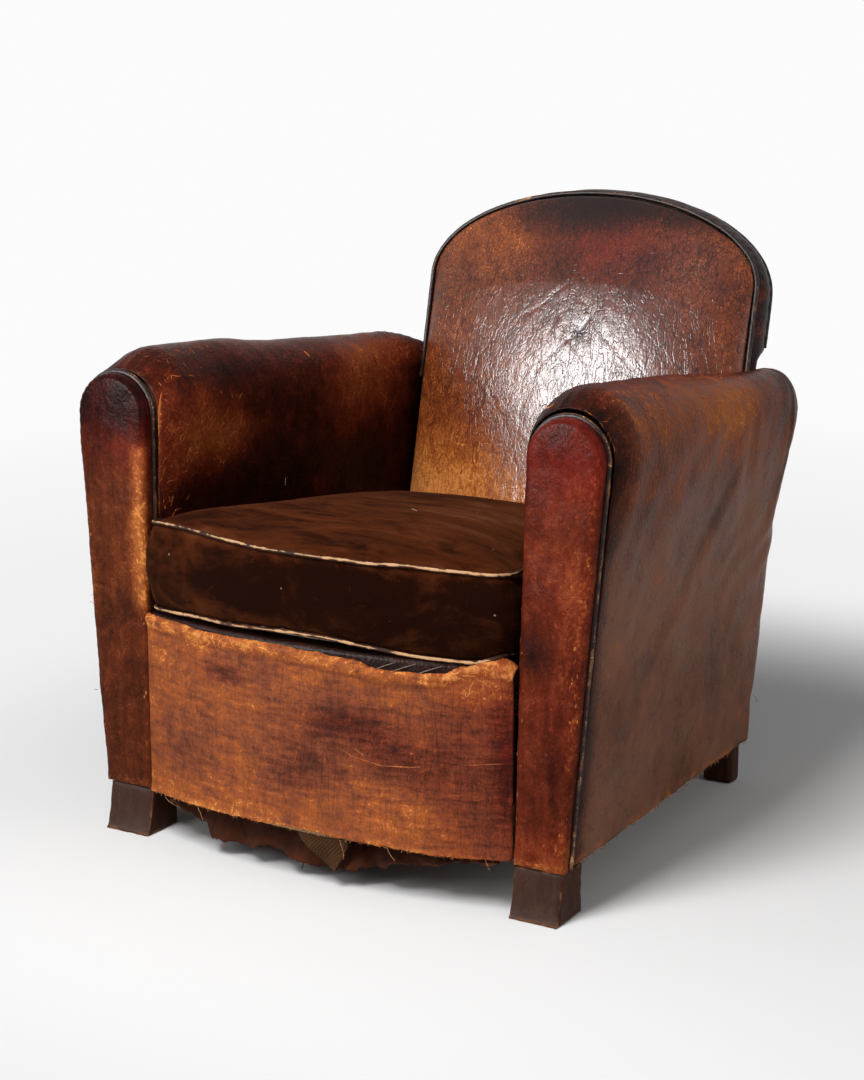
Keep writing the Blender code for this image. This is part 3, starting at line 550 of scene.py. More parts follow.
# %% Lines shared by the panels
HALF_SEAT = 0.266
APRON_BOTTOM = 0.065
BACK_SIDE = 0.2665
BACK_HALF = 0.2642
BACK_TUCK = 0.292
BAND_DEPTH = 0.055
HIDE = 0.0022
THIN_HIDE = 0.0020
SIDES = (("left", 1), ("right", -1))


def face_y(z):
    return 0.008 + 0.022 * z


def rear_y(z):
    return 0.618 + 0.226 * z


def seat_fall(y):
    return -0.090 * y


def bow(x):
    return 0.012 - 0.048 * (1 - (x / HALF_SEAT) ** 2)


def swell(y):
    return ease((y - 0.028) / 0.062) ** 0.7


def spare(side):
    return 0.0095 if side < 0 else 0.0


def crest_z(y, side):
    line = 0.6275 - 0.060 * y
    if side > 0:
        line -= 0.014 * ease((y - 0.20) / 0.40)
    else:
        line += 0.006 * hump(y, 0.20, 0.13)
    return mix(0.600, line, swell(y))


def spring_z(y):
    return mix(0.545, 0.518, clamp(y / 0.63))


def roll_out(y, side):
    return mix(0.371 + spare(side), 0.385 - 0.055 * max(y - 0.09, 0), swell(y))


def roll_in(y):
    return mix(mix(0.267, 0.250, swell(y)), BACK_SIDE, ease((y - 0.45) / 0.15))


def outer_x(y, z, side):
    along = clamp(y / 0.60)
    spring = spring_z(y)
    foot = mix(0.332 + spare(side), 0.316, along)
    lean = mix(0.094, 0.060, along)
    line = foot + lean * (min(z, spring) - APRON_BOTTOM)
    at_spring = foot + lean * (spring - APRON_BOTTOM)
    return line + (roll_out(y, side) - at_spring) * ease((z - 0.385) / (spring - 0.385))


def inner_x(y, z):
    return mix(BACK_SIDE, roll_in(y), ease((z - 0.29) / 0.24))


def corner_radius(z):
    return mix(0.045, 0.120, clamp((z - APRON_BOTTOM) / 0.455))


print("rear of the seat leans to", round(TOE + rear_y(0.8), 4), "at the top")

# %% [markdown]
# ## Arm leather
# One hide runs from the seat, over the round arm, down the outside and round the rear corner. It is a sheet
# with two coordinates: u goes over the arm from inside to outside, and v goes back from the facing and then
# round the corner. The relief holds the small gathers under the welt, the soft slanting ripples of the
# outside panel, the creases that run round the rear, and a slow unevenness from the hair below.

# %% Shape of the arm
CORNER_CUT = 68.0
REAR_CLEARANCE = 0.040
ARM_START = 0.0235


def arm_point(u, v, side):
    """u 0-1 up the inside, 1-3 over the roll, 3-4 down the outside; v 0-1 back, 1-2 round the corner."""
    along = mix(0.035, 0.63, min(v, 1.0))
    turned = clamp(v - 1)
    crest = crest_z(along, side) - 0.040 * turned ** 2
    spring = spring_z(along) - 0.004 * turned
    arc = math.pi * clamp((u - 1) / 2)
    if u <= 1:
        z, across = mix(0.270 + seat_fall(along), spring, u), 0.0
    elif u < 3:
        z, across = spring + (crest - spring) * math.sin(arc), (1 - math.cos(arc)) / 2
    else:
        z, across = mix(spring, APRON_BOTTOM, u - 3), 1.0
    radius = corner_radius(z)
    turn_y = rear_y(z) - radius
    if v <= 1:
        y = mix(face_y(z) + ARM_START, turn_y, v)
        return at(side * mix(inner_x(y, z), outer_x(y, z, side), across), y, z)
    angle = math.radians(90 * turned)
    centre_x = outer_x(turn_y, z, side) - radius
    cut = math.radians(CORNER_CUT)
    if angle <= cut:
        width = (centre_x + radius * math.cos(angle) - BACK_SIDE) / math.cos(angle)
    else:
        at_cut = (centre_x + radius * math.cos(cut) - BACK_SIDE) / math.cos(cut)
        width = max(at_cut, 0) * ((math.pi / 2 - angle) / (math.pi / 2 - cut)) ** 2.5
    reach = radius - max(width, 0.0) * (1 - across)
    y = turn_y + reach * math.sin(angle)
    if u <= 1:
        y = min(y, rear_y(z) - REAR_CLEARANCE)
    return at(side * (centre_x + reach * math.cos(angle)), y, z)


print("arm crest at the middle:", [round(c, 3) for c in arm_point(2, 0.5, 1)])

# %% Relief and wear of the arms, with their painted light and shade
def near_line(p, a, b, width):
    """One on the line from a to b, fading out over the width."""
    a, b = Vector(a), Vector(b)
    t = clamp((p - a).dot(b - a) / (b - a).length_squared)
    return hump((p - a.lerp(b, t)).length, 0, width)


def fold_place(y, z):
    """The long slanting fold of the outside panel: how far off it a place is, and one along its length."""
    dy, dz = 0.280, 0.292
    length = math.hypot(dy, dz)
    t = ((y - 0.145) * dy + (z - 0.171) * dz) / length ** 2
    off = ((y - 0.145) * dz - (z - 0.171) * dy) / length + 0.010 * math.sin(t * 5)
    return off, ease((t + 0.15) / 0.3) * ease((1.15 - t) / 0.3)


def arm_relief(side):
    shift = 3.0 + 5.0 * side

    def relief(u, v, p):
        y = p.y - TOE
        raised = 0.0050 * (cloud_at(p, 6.5, shift, 2) - 0.45) + 0.0022 * (cloud_at(p, 17, shift) - 0.5)
        raised *= ease(v / 0.06)
        # gathers under the welt
        waves = math.sin(math.tau * u * 7.5 + 5 * cloud_at(p, 12, shift, 2))
        gathered = math.exp(-max(v - 0.015, 0) / 0.050) * ease(v / 0.02) * ease(1.6 - abs(u - 2))
        raised += 0.0012 * waves * gathered
        # slanting ripples down the outside
        if u > 2.6:
            phase = (-0.62 * y + 0.78 * p.z) / 0.074 + 3.2 * cloud_at(p, 4.5, shift, 2)
            raised += 0.0009 * math.sin(math.tau * phase) * ease((u - 2.6) / 0.6) * ease(v / 0.25)
            if side > 0:
                off, run = fold_place(y, p.z)
                raised += 0.0017 * run * (hump(off, 0.012, 0.016) - hump(off, -0.014, 0.012))
        # short creases where the roll turns down at the rear corner
        if v > 0.75:
            phase = 9.0 * v + 2.5 * cloud_at(p, 9, shift, 2)
            fold = 0.0011 if side > 0 else 0.0003
            raised += fold * math.sin(math.tau * phase) * ease((v - 0.75) / 0.4) * ease((p.z - 0.36) / 0.1)
        # long sags along the inside, where elbows and hips press
        if u < 1.6:
            raised += 0.0016 * (cloud_at(Vector((p.x, p.y * 0.4, p.z)), 22, shift, 2) - 0.5)
        # the hem is stretched over the rail
        if u > 3.9:
            raised += 0.0016 * ease((u - 3.9) / 0.1) * (cloud_at(p, 60, shift, 2) - 0.3)
        # no hollow is deeper than the hide above its stuffing, least of all where the inside turns rearwards
        least = mix(-0.0010, 0.0008, ease((v - 0.75) / 0.12)) if u < 2 else -HIDE
        return max(raised, least)
    return relief


def arm_tone(side):
    def tone(u, v, p):
        y, z = p.y - TOE, p.z
        broad = cloud_at(p, 9, 4.0 + side, 3) - 0.5
        rubbed, dark, red = 0.12 + 0.25 * broad, 0.16, 0.15
        if side > 0:
            # the outside seen from the front: rust below the roll, brown with a painted grey sheen further
            # down
            rust = blob(p, (0.37, TOE + 0.26, 0.575), (0.08, 0.15, 0.055))
            rust += 1.15 * blob(p, (0.37, TOE + 0.44, 0.550), (0.08, 0.12, 0.060))
            rust += 0.3 * blob(p, (0.37, TOE + 0.105, 0.590), (0.08, 0.018, 0.045))
            rubbed += 0.18 * rust
            rubbed += 0.06
            rubbed += 0.22 * near_line(p, (0.372, TOE + 0.090, 0.605), (0.366, TOE + 0.130, 0.490), 0.010)
            dark += 0.65 * ease(1 - (y - 0.03) / 0.05) + 0.06 * ease((0.47 - z) / 0.2) - 0.20 * rust
            dark += 0.38 * ease((z - 0.49) / 0.05) * (1 - 0.6 * rust)
            # the long slanting fold: a painted highlight along its ridge and painted shade along the hollow
            # beside it
            off, run = fold_place(y, z)
            rubbed += 0.10 * run * hump(off, 0.014, 0.020)
            dark += 0.26 * run * hump(off, -0.014, 0.012)
            red += 0.35 * ease((u - 1.2) / 0.6) * ease((2.6 - u) / 0.6)
            dark += 0.35 * ease((2.2 - u) / 0.5)
        else:
            # the inside seen from the front: a scratched patch near the facing, nearly black behind it
            patch = blob(p, (-0.258, TOE + 0.10, 0.515), (0.06, 0.085, 0.060))
            patch += 0.6 * blob(p, (-0.258, TOE + 0.20, 0.500), (0.06, 0.060, 0.035))
            rubbed += 0.36 * patch
            dark += 0.58 - 0.60 * patch
            rear = blob(p, (-0.262, TOE + 0.52, 0.530), (0.08, 0.14, 0.060))
            rubbed += 0.40 * rear
            dark -= 0.50 * rear
            red += 0.34
            dark -= 0.25 * hump(u, 1.9, 0.5)
            rubbed += 0.9 * near_line(p, (-0.258, TOE + 0.051, 0.579), (-0.262, TOE + 0.029, 0.500), 0.0042)
            rubbed += 0.7 * near_line(p, (-0.262, TOE + 0.386, 0.604), (-0.250, TOE + 0.392, 0.590), 0.006)
        # edges that every arm wears through: the hem, and the fold beside the back
        ragged = ease((cloud_at(p, 40, 3.0, 3) - 0.42) / 0.16)
        rubbed += 0.60 * ease((u - 3.972) / 0.028) * ragged
        rubbed += 0.30 * hump(z, 0.115, 0.03) * ease((v - 0.7) / 0.3) * ragged
        rubbed += 0.28 * hump(u, 1.55, 0.25) * ease((v - 0.55) / 0.4)
        # painted shade along the foot of the inside, in the gap beside the cushion
        dark += 0.45 * ease(1 - u / 0.35)
        # painted sheen: the outside panel below the roll is turned grey brown, where it would mirror the pale
        # sweep
        painted_sheen = (0.72 if side > 0 else 0.5) * ease((0.505 - z) / 0.08) * ease((u - 2.9) / 0.3)
        painted_sheen *= ease((y - 0.04) / 0.04)
        return clamp(rubbed), clamp(dark), clamp(red), 1 - painted_sheen * (0.8 + 0.8 * broad)
    return tone


ARM_OVER = even(52, 0, 1) + even(44, 1, 3)[1:] + even(94, 3, 4)[1:]
ARM_BACK = even(112, 0, 1) + even(34, 1, 2)[1:]

for word, side in SIDES:
    form = lay(lambda u, v: arm_point(u, v, side), ARM_OVER, ARM_BACK, arm_relief(side), arm_tone(side),
               flip=side < 0, dropped=lambda u, v: u < 2 and v > 1 + CORNER_CUT / 90, cloth=(0.25, 0.75))
    piece(form, f"arm_hide_{word}", hide_finish, [f"arm_leather_{word}"], thick=HIDE)

# %% [markdown]
# ## Arm facings
# A facing is a board covered with a thin pad and a separate piece of leather, turned round its edge and
# gathered under it. The sheet is laid in rings: one coordinate follows the outline, the other goes from the
# edge, over the rounding and in to the middle line, so the rounding and the gathers follow the outline.

# %% Facings
SPRING = 0.545
FACING_FOOT = 0.062
ROUNDING = 0.0095
FACING_EDGE = 0.0085
INNER_TOP, OUTER_TOP = 0.271, 0.3675


def facing_line(t, side, grow):
    """The outline at t from 0 to 1: up the inside, over the round top, down the outside, along the foot."""
    inner_low, inner_high = HALF_SEAT - grow, INNER_TOP - grow
    outer_low, outer_high = 0.331 + spare(side) + grow, OUTER_TOP + spare(side) + grow
    low = FACING_FOOT - grow
    middle, radius = (inner_high + outer_high) / 2, (outer_high - inner_high) / 2
    if t < 0.38:
        return mix(inner_low, inner_high, t / 0.38), mix(low, SPRING, t / 0.38)
    if t < 0.56:
        turn = math.pi * (1 - (t - 0.38) / 0.18)
        return middle + radius * math.cos(turn), SPRING + radius * math.sin(turn)
    if t < 0.94:
        return mix(outer_high, outer_low, (t - 0.56) / 0.38), mix(SPRING, low, (t - 0.56) / 0.38)
    return mix(outer_low, inner_low, (t - 0.94) / 0.06), low


def facing_point(t, s, side):
    """s runs 0-1 along the turned side, 1-2 over the rounding and 2-3 in to the middle line."""
    if s <= 1:
        x, z = facing_line(t, side, 0.0002)
        return at(side * x, face_y(z) + mix(0.0185, FACING_EDGE, s), z)
    turn = math.radians(90 * clamp(s - 1))
    x, z = facing_line(t, side, 0.0002 - ROUNDING * (1 - math.cos(turn)))
    depth = FACING_EDGE * (1 - math.sin(turn))
    if s > 2:
        # the rings draw in to a middle line that ends short of the foot and of the round top
        ex, ez = facing_line(t, side, 0.0002 - ROUNDING)
        spine_x = mix(0.2985, 0.319, clamp((ez - FACING_FOOT) / (SPRING - FACING_FOOT))) + spare(side) / 2
        inward = s - 2
        x, z = mix(ex, spine_x, inward), mix(ez, min(max(ez, 0.09), SPRING), inward)
        depth = -0.0022 * math.sin(math.pi / 2 * inward)
    return at(side * x, face_y(z) + depth, z)


def facing_relief(side):
    def relief(t, s, p):
        pucker = math.sin(math.tau * t * 95 + 6 * cloud_at(p, 20, 7.0, 2))
        edge = hump(s, 1.1, 0.8)
        over = 0.35 + 0.65 * hump(t, 0.47, 0.12)
        slow = 0.0030 * (cloud_at(p, 9, 11.0 + side, 2) - 0.5) + 0.0016 * (cloud_at(p, 26, side) - 0.5)
        return 0.0004 * pucker * edge * over + slow * ease(s / 1.4)
    return relief


def facing_tone(side):
    def tone(t, s, p):
        z = p.z
        broad = cloud_at(p, 11, 9.0 + side, 3) - 0.5
        chipped = ease((cloud_at(p, 230, 4.0 + side, 4) - 0.54) / 0.10)
        rim = hump(s, 1.6, 0.36) * (0.12 + chipped)
        rubbed, dark, red = 0.04 + 0.30 * broad, 0.14, 0.52
        if side > 0:
            outside = ease((t - 0.50) / 0.06) * ease((0.94 - t) / 0.02)
            worst = 0.3 + hump(z, 0.24, 0.05) + hump(z, 0.47, 0.09) + hump(z, 0.09, 0.04)
            rubbed += 0.32 * rim * outside * worst
            streak = near_line(p, (0.341, TOE + 0.02, 0.44), (0.331, TOE + 0.015, 0.29), 0.014)
            rubbed += 0.20 * streak * (0.4 + chipped) + 0.16 * ease((0.12 - z) / 0.04)
            rubbed += 0.11 * ease((0.47 - z) / 0.1) + 0.08 * ease((0.26 - z) / 0.1)
            red += 0.40 * ease((z - 0.47) / 0.08)
            rubbed += 0.10 * ease((z - 0.48) / 0.05)
            dark += 0.50 * blob(p, (0.290, TOE + 0.015, 0.318), (0.026, 0.1, 0.020))
            dark += 0.35 * blob(p, (0.318, TOE + 0.012, 0.195), (0.020, 0.1, 0.030))
            dark += 0.12 * ease((z - 0.56) / 0.03) + 0.10 * ease((0.47 - z) / 0.1)
        else:
            strip = near_line(p, (-0.279, TOE + 0.02, 0.50), (-0.277, TOE + 0.015, 0.31), 0.011)
            rubbed += 0.76 * strip * (0.75 + 0.3 * chipped)
            rubbed += 0.12 * blob(p, (-0.310, TOE + 0.02, 0.43), (0.030, 0.1, 0.085))
            rubbed += 0.25 * rim * ease((0.5 - z) / 0.1) * (0.25 + ease((z - 0.28) / 0.04))
            dark += 0.05 + 0.60 * ease((z - 0.50) / 0.06) + 0.06 * ease((0.28 - z) / 0.12)
            red += 0.35 * ease((z - 0.50) / 0.06) - 0.30 * ease((0.50 - z) / 0.06)
        rubbed += 0.35 * ease((0.080 - z) / 0.015) * ease(s - 0.5) * (0.4 + chipped)
        return clamp(rubbed), clamp(dark), clamp(red)
    return tone


AROUND = even(150, 0, 0.38) + even(56, 0.38, 0.56)[1:] + even(150, 0.56, 0.94)[1:] + even(20, 0.94, 1)[1:]
INWARD = even(3, 0, 1) + even(10, 1, 2)[1:] + even(16, 2, 3)[1:]

for word, side in SIDES:
    form = lay(lambda t, s: facing_point(t, s, side), AROUND, INWARD, facing_relief(side), facing_tone(side),
               flip=side > 0, cloth=(1.2, 0.05))
    piece(form, f"facing_hide_{word}", facing_finish, [f"facing_leather_{word}"],
          thick=THIN_HIDE)

# %% [markdown]
# ## The back
# The inside of the back is one padded hide, polished by a century of shoulders. Its relief is made here at
# the scale of a finger: a shallow dimple, the long diagonal folds that cross near the middle and a mesh of
# mostly upright wrinkles. The finish adds the finer veins.

# %% Shape of the back
ARCH_FOOT, ARCH_RISE = 0.675, 0.128
WELT_ROOM = 0.0078


def arch(t, rear, shrink=0.0):
    angle = t * math.pi / 2
    spring, rise = mix(ARCH_FOOT, 0.658, rear), mix(ARCH_RISE, 0.141, rear)
    return (BACK_HALF - shrink) * math.sin(angle), spring + (rise - shrink) * math.cos(angle)


def back_outline(t, low, rear, shrink=0.0):
    part = 0.30
    if abs(t) <= 1 - part:
        return arch(t / (1 - part), rear, shrink)
    down = (abs(t) - (1 - part)) / part
    return math.copysign(BACK_HALF - shrink, t), mix(arch(1, rear)[1], low, down)


def back_bulge(a, z):
    across = max(1 - abs(a) ** 2.6, 0) ** 0.55
    top = ARCH_FOOT + ARCH_RISE * math.sqrt(max(1 - a * a, 0))
    up = clamp((z - BACK_TUCK) / (top - BACK_TUCK))
    tucked = mix(0.74, 1, ease((z - BACK_TUCK) / 0.08))
    return 0.055 * across * max(1 - up ** 5, 0) ** 0.6 * tucked


def back_point(a, b):
    angle = a * math.pi / 2
    x = (BACK_HALF - WELT_ROOM) * math.sin(angle)
    top = ARCH_FOOT + (ARCH_RISE - WELT_ROOM) * math.cos(angle)
    z = mix(BACK_TUCK, top, b)
    bulge = back_bulge(math.sin(angle), z) * clamp(1.2 * (1 - b) + 0.72)
    return at(x, rear_y(z) - BAND_DEPTH - bulge, z)


BACK_FOLDS = [((-0.075, 0.705), (0.115, 0.470)), ((-0.050, 0.720), (0.150, 0.520)),
              ((-0.110, 0.640), (0.060, 0.430)), ((0.105, 0.700), (-0.090, 0.500)),
              ((0.065, 0.735), (-0.120, 0.590)), ((0.160, 0.640), (-0.010, 0.450)),
              ((-0.160, 0.590), (-0.040, 0.400)), ((0.130, 0.560), (0.030, 0.380)),
              ((-0.030, 0.650), (-0.075, 0.360)), ((0.010, 0.600), (0.055, 0.350)),
              ((-0.190, 0.480), (-0.120, 0.330)), ((0.190, 0.500), (0.120, 0.360))]


def wrinkle(p, across, upright, shift):
    """Ridges between two wandering lines: sharp in the valley, round on the crest."""
    wander = cloud_at(p, 11, shift, 3) - 0.5
    q = Vector((p.x * across + 2.6 * wander, p.y * across, p.z * upright + 1.8 * wander + shift))
    near, far = noise.voronoi(q)[0][:2]
    return clamp((far - near) * 1.9)


def back_relief(a, b, p):
    edge = ease((1 - abs(a)) / 0.10) * ease((1 - b) / 0.06)
    middle = hump(p.x, 0.01, 0.16) * hump(p.z, 0.56, 0.17)
    raised = 0.0018 * (cloud_at(p, 7, 1.0, 2) - 0.5)
    raised += mix(0.0001, 0.0003, middle) * wrinkle(p, 62, 26, 5.0)
    for (x0, z0), (x1, z1) in BACK_FOLDS:
        line = Vector((x1 - x0, 0, z1 - z0))
        here = Vector((p.x + 0.022 * (cloud_at(p, 22, x0 * 60, 3) - 0.5), 0, p.z))
        t = (here - Vector((x0, 0, z0))).dot(line) / line.length_squared
        off = (here - Vector((x0, 0, z0)) - line * t).length
        raised -= 0.0004 * hump(off, 0, 0.0020) * hump(t, 0.5, 0.34)
    raised -= 0.0008 * spot(p, 0.021, 0.612, 0.014, 0.017)
    gathered = math.sin(p.x * 330 + 4 * cloud_at(p, 9, 3, 2)) * ease(1 - (p.z - BACK_TUCK) / 0.12)
    raised += 0.0012 * gathered
    return raised * edge


def back_tone(a, b, p):
    broad = cloud_at(p, 8, 2.0, 3) - 0.5
    left = ease((-p.x - 0.02) / 0.16)
    low = ease((0.50 - p.z) / 0.16)
    rubbed = 0.10 + 0.20 * broad + 0.16 * left + 0.30 * low
    rubbed += 0.34 * ease((0.46 - p.z) / 0.12) + 0.14 * ease((0.58 - p.z) / 0.16) * ease((0.02 - p.x) / 0.1)
    rubbed += 0.10 * spot(p, -0.150, 0.715, 0.06, 0.05)
    rubbed += 0.06 * ease((p.x - 0.11) / 0.08) * ease((0.70 - p.z) / 0.1)
    shine = spot(p, 0.06, 0.62, 0.11, 0.10)
    rubbed -= 0.22 * shine
    dark = 0.9 * ease((p.z - 0.730 - 0.06 * max(p.x, -0.05)) / 0.050) * ease((p.x + 0.18) / 0.14)
    dark += 0.55 * ease((abs(a) - 0.93) / 0.05) * ease((p.x + 0.1) / 0.2)
    dark += 0.75 * spot(p, 0.021, 0.612, 0.010, 0.012)
    red = 0.26 + 0.34 * spot(p, 0.05, 0.725, 0.09, 0.04) + 0.2 * shine
    return clamp(rubbed), clamp(dark), clamp(red)


form = lay(back_point, even(226, -1, 1), even(210), back_relief, back_tone, cloth=(0.26, 0.5))
back_pad = piece(form, "back_hide", back_finish, ["inside_back_leather"], thick=HIDE)

# %% [markdown]
# The band closes the top of the back between the two welts, and the outside back is one plain hide that
# narrows between the arms.

# %% Band and outside back
def from_arch(x, z, y=0.0):
    """The direction out of the back's outline: sideways low down, and upwards over the arch."""
    return Vector((x, y, max(z - ARCH_FOOT, 0) * 2))


def band_rear(z):
    return rear_y(z) - mix(0.026, 0.0042, ease((z - 0.574) / 0.014))


def band_point(t, w):
    x, z = back_outline(t, 0.500, w)
    outwards = from_arch(x, z).normalized()
    y = mix(rear_y(z) - BAND_DEPTH + 0.0042, band_rear(z), w)
    return at(x, y, z) + outwards * (0.0045 * math.sin(math.pi * w) - 0.0020)


def band_relief(t, w, p):
    waves = math.sin(t * 150 + 5 * cloud_at(p, 10, 2.0, 2))
    return 0.0005 * waves * (1 - hump(w, 0.5, 0.3)) + 0.0016 * (cloud_at(p, 20, 6.0, 2) - 0.5)


def band_tone(t, w, p):
    broad = cloud_at(p, 14, 6.0, 3) - 0.5
    worn = spot(p, 0.262, 0.615, 0.1, 0.012) + 0.6 * spot(p, 0.262, 0.668, 0.1, 0.02)
    return clamp(0.04 + 0.35 * broad + 0.6 * worn), clamp(0.78 - 0.4 * broad), 0.35


form = lay(band_point, even(300, -1, 1), even(14), band_relief, band_tone, cloth=(0.6, 0.06))
piece(form, "back_band_hide", dark_hide_finish, ["back_band"], thick=THIN_HIDE)


SHOULDER = 0.562


def seam_x(z):
    turn = rear_y(z) - corner_radius(z)
    return outer_x(turn, z, 1) - corner_radius(z)


def outside_back_point(a, b):
    angle = a * math.pi / 2
    z = mix(SHOULDER, arch(a, 1, WELT_ROOM)[1] if b > 0 else APRON_BOTTOM, abs(b))
    half = mix(seam_x(min(z, 0.52)) - 0.0016, BACK_HALF - WELT_ROOM, ease((z - SHOULDER) / 0.022))
    crown = 0.002 * (1 - a * a) * math.cos(math.pi / 2 * b)
    return at(half * math.sin(angle), rear_y(z) + crown, z)


def outside_back_relief(a, b, p):
    sag = 0.0040 * (cloud_at(p, 5, 8.0, 2) - 0.5) + 0.0016 * (cloud_at(p, 16, 8.0) - 0.5)
    return max(sag, -0.0012) * ease((1 - abs(a)) / 0.08)


def outside_back_tone(a, b, p):
    broad = cloud_at(p, 7, 12.0, 3) - 0.5
    edge = ease((abs(a) - 0.90) / 0.10) + ease((-b - 0.95) / 0.05) + ease((b - 0.93) / 0.07)
    return clamp(0.12 + 0.5 * broad + 0.35 * edge), clamp(0.55 - 0.5 * broad), 0.25


form = lay(outside_back_point, even(110, -1, 1), even(90, -1, 0) + even(46, 0, 1)[1:], outside_back_relief,
           outside_back_tone, flip=True, cloth=(0.26, 0.4))
piece(form, "outside_back_hide", dark_hide_finish, ["outside_back_leather"], thick=THIN_HIDE)

# %% [markdown]
# ## Apron and seat deck
# The apron is the most tired piece of the chair: bare tan leather with purple-brown stains, dried and
# cracked, its top edge rolled and torn and its foot frayed. Its lower edge droops a little between the feet.
# Behind its top edge the darker lip of the seat deck shows.

# %% Apron
APRON_TOP = [(-0.266, 0.290), (-0.197, 0.2895), (-0.155, 0.2895), (-0.090, 0.291), (-0.035, 0.292),
             (0.016, 0.291), (0.070, 0.2860), (0.098, 0.2805), (0.122, 0.2795), (0.150, 0.2805),
             (0.185, 0.283), (0.210, 0.293), (0.236, 0.302), (0.251, 0.2985), (0.266, 0.291)]
APRON_FOOT = [(-0.266, 0.062), (-0.200, 0.064), (-0.140, 0.0675), (-0.08, 0.070), (0.0, 0.072), (0.09, 0.070),
              (0.185, 0.066), (0.266, 0.068)]
CURL = 0.0035
DECK_TOP = 0.2995


def line_at(line, x):
    """The height at x of a line given by a few points."""
    for (x0, z0), (x1, z1) in zip(line, line[1:]):
        if x <= x1:
            return mix(z0, z1, ease((x - x0) / (x1 - x0)))
    return line[-1][1]


def apron_point(a, b):
    x = a * (HALF_SEAT - 0.0004)
    ragged = 0.0011 * wobble(x * 55, 2.0) + 0.0012 * wobble(x * 190, 5.0)
    frayed = 0.0016 * wobble(x * 90, 9.0) + 0.0010 * wobble(x * 260, 9.0)
    z = mix(line_at(APRON_FOOT, x) + frayed, line_at(APRON_TOP, x) + ragged, min(b, 1.0))
    y = bow(x)
    if b > 1:
        turn = (b - 1) * math.radians(150)
        y += CURL * (1 - math.cos(turn)) + 0.0002
        z += CURL * math.sin(turn)
    return at(x, y, z)


def apron_relief(a, b, p):
    broad = 0.0055 * (cloud_at(p, 7, 3.0, 2) - 0.45) + 0.0022 * (cloud_at(p, 19, 3.0) - 0.5)
    ribs = 0.0005 * math.sin(p.z * 620 + 6 * cloud_at(p, 8, 6.0, 2)) * cloud_at(p, 12, 9.0, 2)
    lip = 0.0030 * ease((b - 0.94) / 0.06)
    foot = 0.0018 * ease((0.05 - b) / 0.05)
    curl = 0.0060 * ease((p.x - 0.225) / 0.03) * ease((b - 0.86) / 0.14)
    return max((broad + ribs) * ease((1 - abs(a)) / 0.03) + lip + foot + curl, -0.0008)


STAINS = [(1, 0.060, 0.215, 0.075, 0.030), (0.8, 0.130, 0.175, 0.06, 0.035),
          (0.75, -0.120, 0.250, 0.05, 0.016), (0.5, 0.0, 0.15, 0.05, 0.04), (0.85, 0.262, 0.190, 0.022, 0.09),
          (0.35, -0.20, 0.115, 0.07, 0.02)]


def apron_tone(a, b, p):
    broad = cloud_at(p, 9, 21.0, 3) - 0.5
    rubbed = 0.16 + 0.5 * broad
    stain = sum(strength * spot(p, *where) for strength, *where in STAINS)
    rubbed -= 0.22 * stain * (0.75 + broad) + 0.16 * ease((p.x - 0.12) / 0.10) * ease((0.27 - p.z) / 0.03)
    rubbed += 0.12 * spot(p, 0.238, 0.285, 0.03, 0.02) + 0.20 * spot(p, -0.21, 0.20, 0.05, 0.05)
    rubbed += 0.12 * ease((0.15 - p.z) / 0.05)
    ragged = ease((cloud_at(p, 70, 8.0, 3) - 0.46) / 0.12)
    rubbed += ease((b - 0.945) / 0.04) * (0.20 + 0.32 * ragged)
    rubbed += ease((0.022 - b) / 0.02) * (0.18 + 0.26 * ragged)
    dark = 0.02 + 0.26 * stain + 0.5 * ease((b - 1.4) / 0.3)
    red = 0.14 + 0.4 * stain + 0.3 * ease((p.x - 0.12) / 0.10)
    return clamp(rubbed), clamp(dark), clamp(red)


form = lay(apron_point, even(250, -1, 1), even(96, 0, 1) + even(8, 1, 2)[1:], apron_relief, apron_tone,
           cloth=(0.27, 0.235))
piece(form, "apron_hide", apron_finish, ["front_apron"], thick=HIDE)

# %% Seat deck with its front lip
def deck_point(a, b):
    """b from -1 at the foot of the lip to 0 at its top and 1 at the rear."""
    x = a * 0.2612
    y = mix(bow(x) + 0.0034, 0.612, clamp(b))
    return at(x, y, mix(DECK_TOP + seat_fall(y), 0.262, max(-b, 0)))


def deck_relief(a, b, p):
    return 0.0024 * cloud_at(p, 14, 2.0, 3) * ease((1 - abs(a)) / 0.1) * ease((0.9 - b) / 0.2)


def deck_tone(a, b, p):
    broad = cloud_at(p, 16, 31.0, 3) - 0.5
    return clamp(0.10 + 0.4 * broad), 0.75, 0.2


form = lay(deck_point, even(160, -1, 1), even(8, -1, 0) + even(60, 0, 1)[1:], deck_relief, deck_tone,
           cloth=(0.26, 0.6))
piece(form, "deck_hide", dark_hide_finish, ["seat_deck"], thick=0.0014)

# %% [markdown]
# ## Welts
# A welt is a strip of leather folded over a cord and sewn into a seam. Here it is a grid wrapped round a
# path. The side that faces outward is polished off, so a thin pale line runs along the dark welt; which
# part of the round is worn is told to the tube as a direction.

# %% Tube helper
WELT_STEP = 0.003
WELT_SIDES = 12
ARM_WELT, BACK_WELT, CUSHION_WELT = 0.0036, 0.0035, 0.0025


def evenly(points, apart, closed=False):
    """The same path with points a fixed step apart."""
    run = points + points[:1] if closed else points
    length = sum((q - p).length for p, q in zip(run, run[1:]))
    count = max(int(length / apart), 8)
    spots, k, gone = [], 0, 0.0
    for i in range(count if closed else count + 1):
        goal = length * i / count
        while k < len(run) - 2 and gone + (run[k + 1] - run[k]).length < goal:
            gone += (run[k + 1] - run[k]).length
            k += 1
        span = (run[k + 1] - run[k]).length
        spots.append(run[k].lerp(run[k + 1], clamp((goal - gone) / max(span, 1e-9))))
    return spots


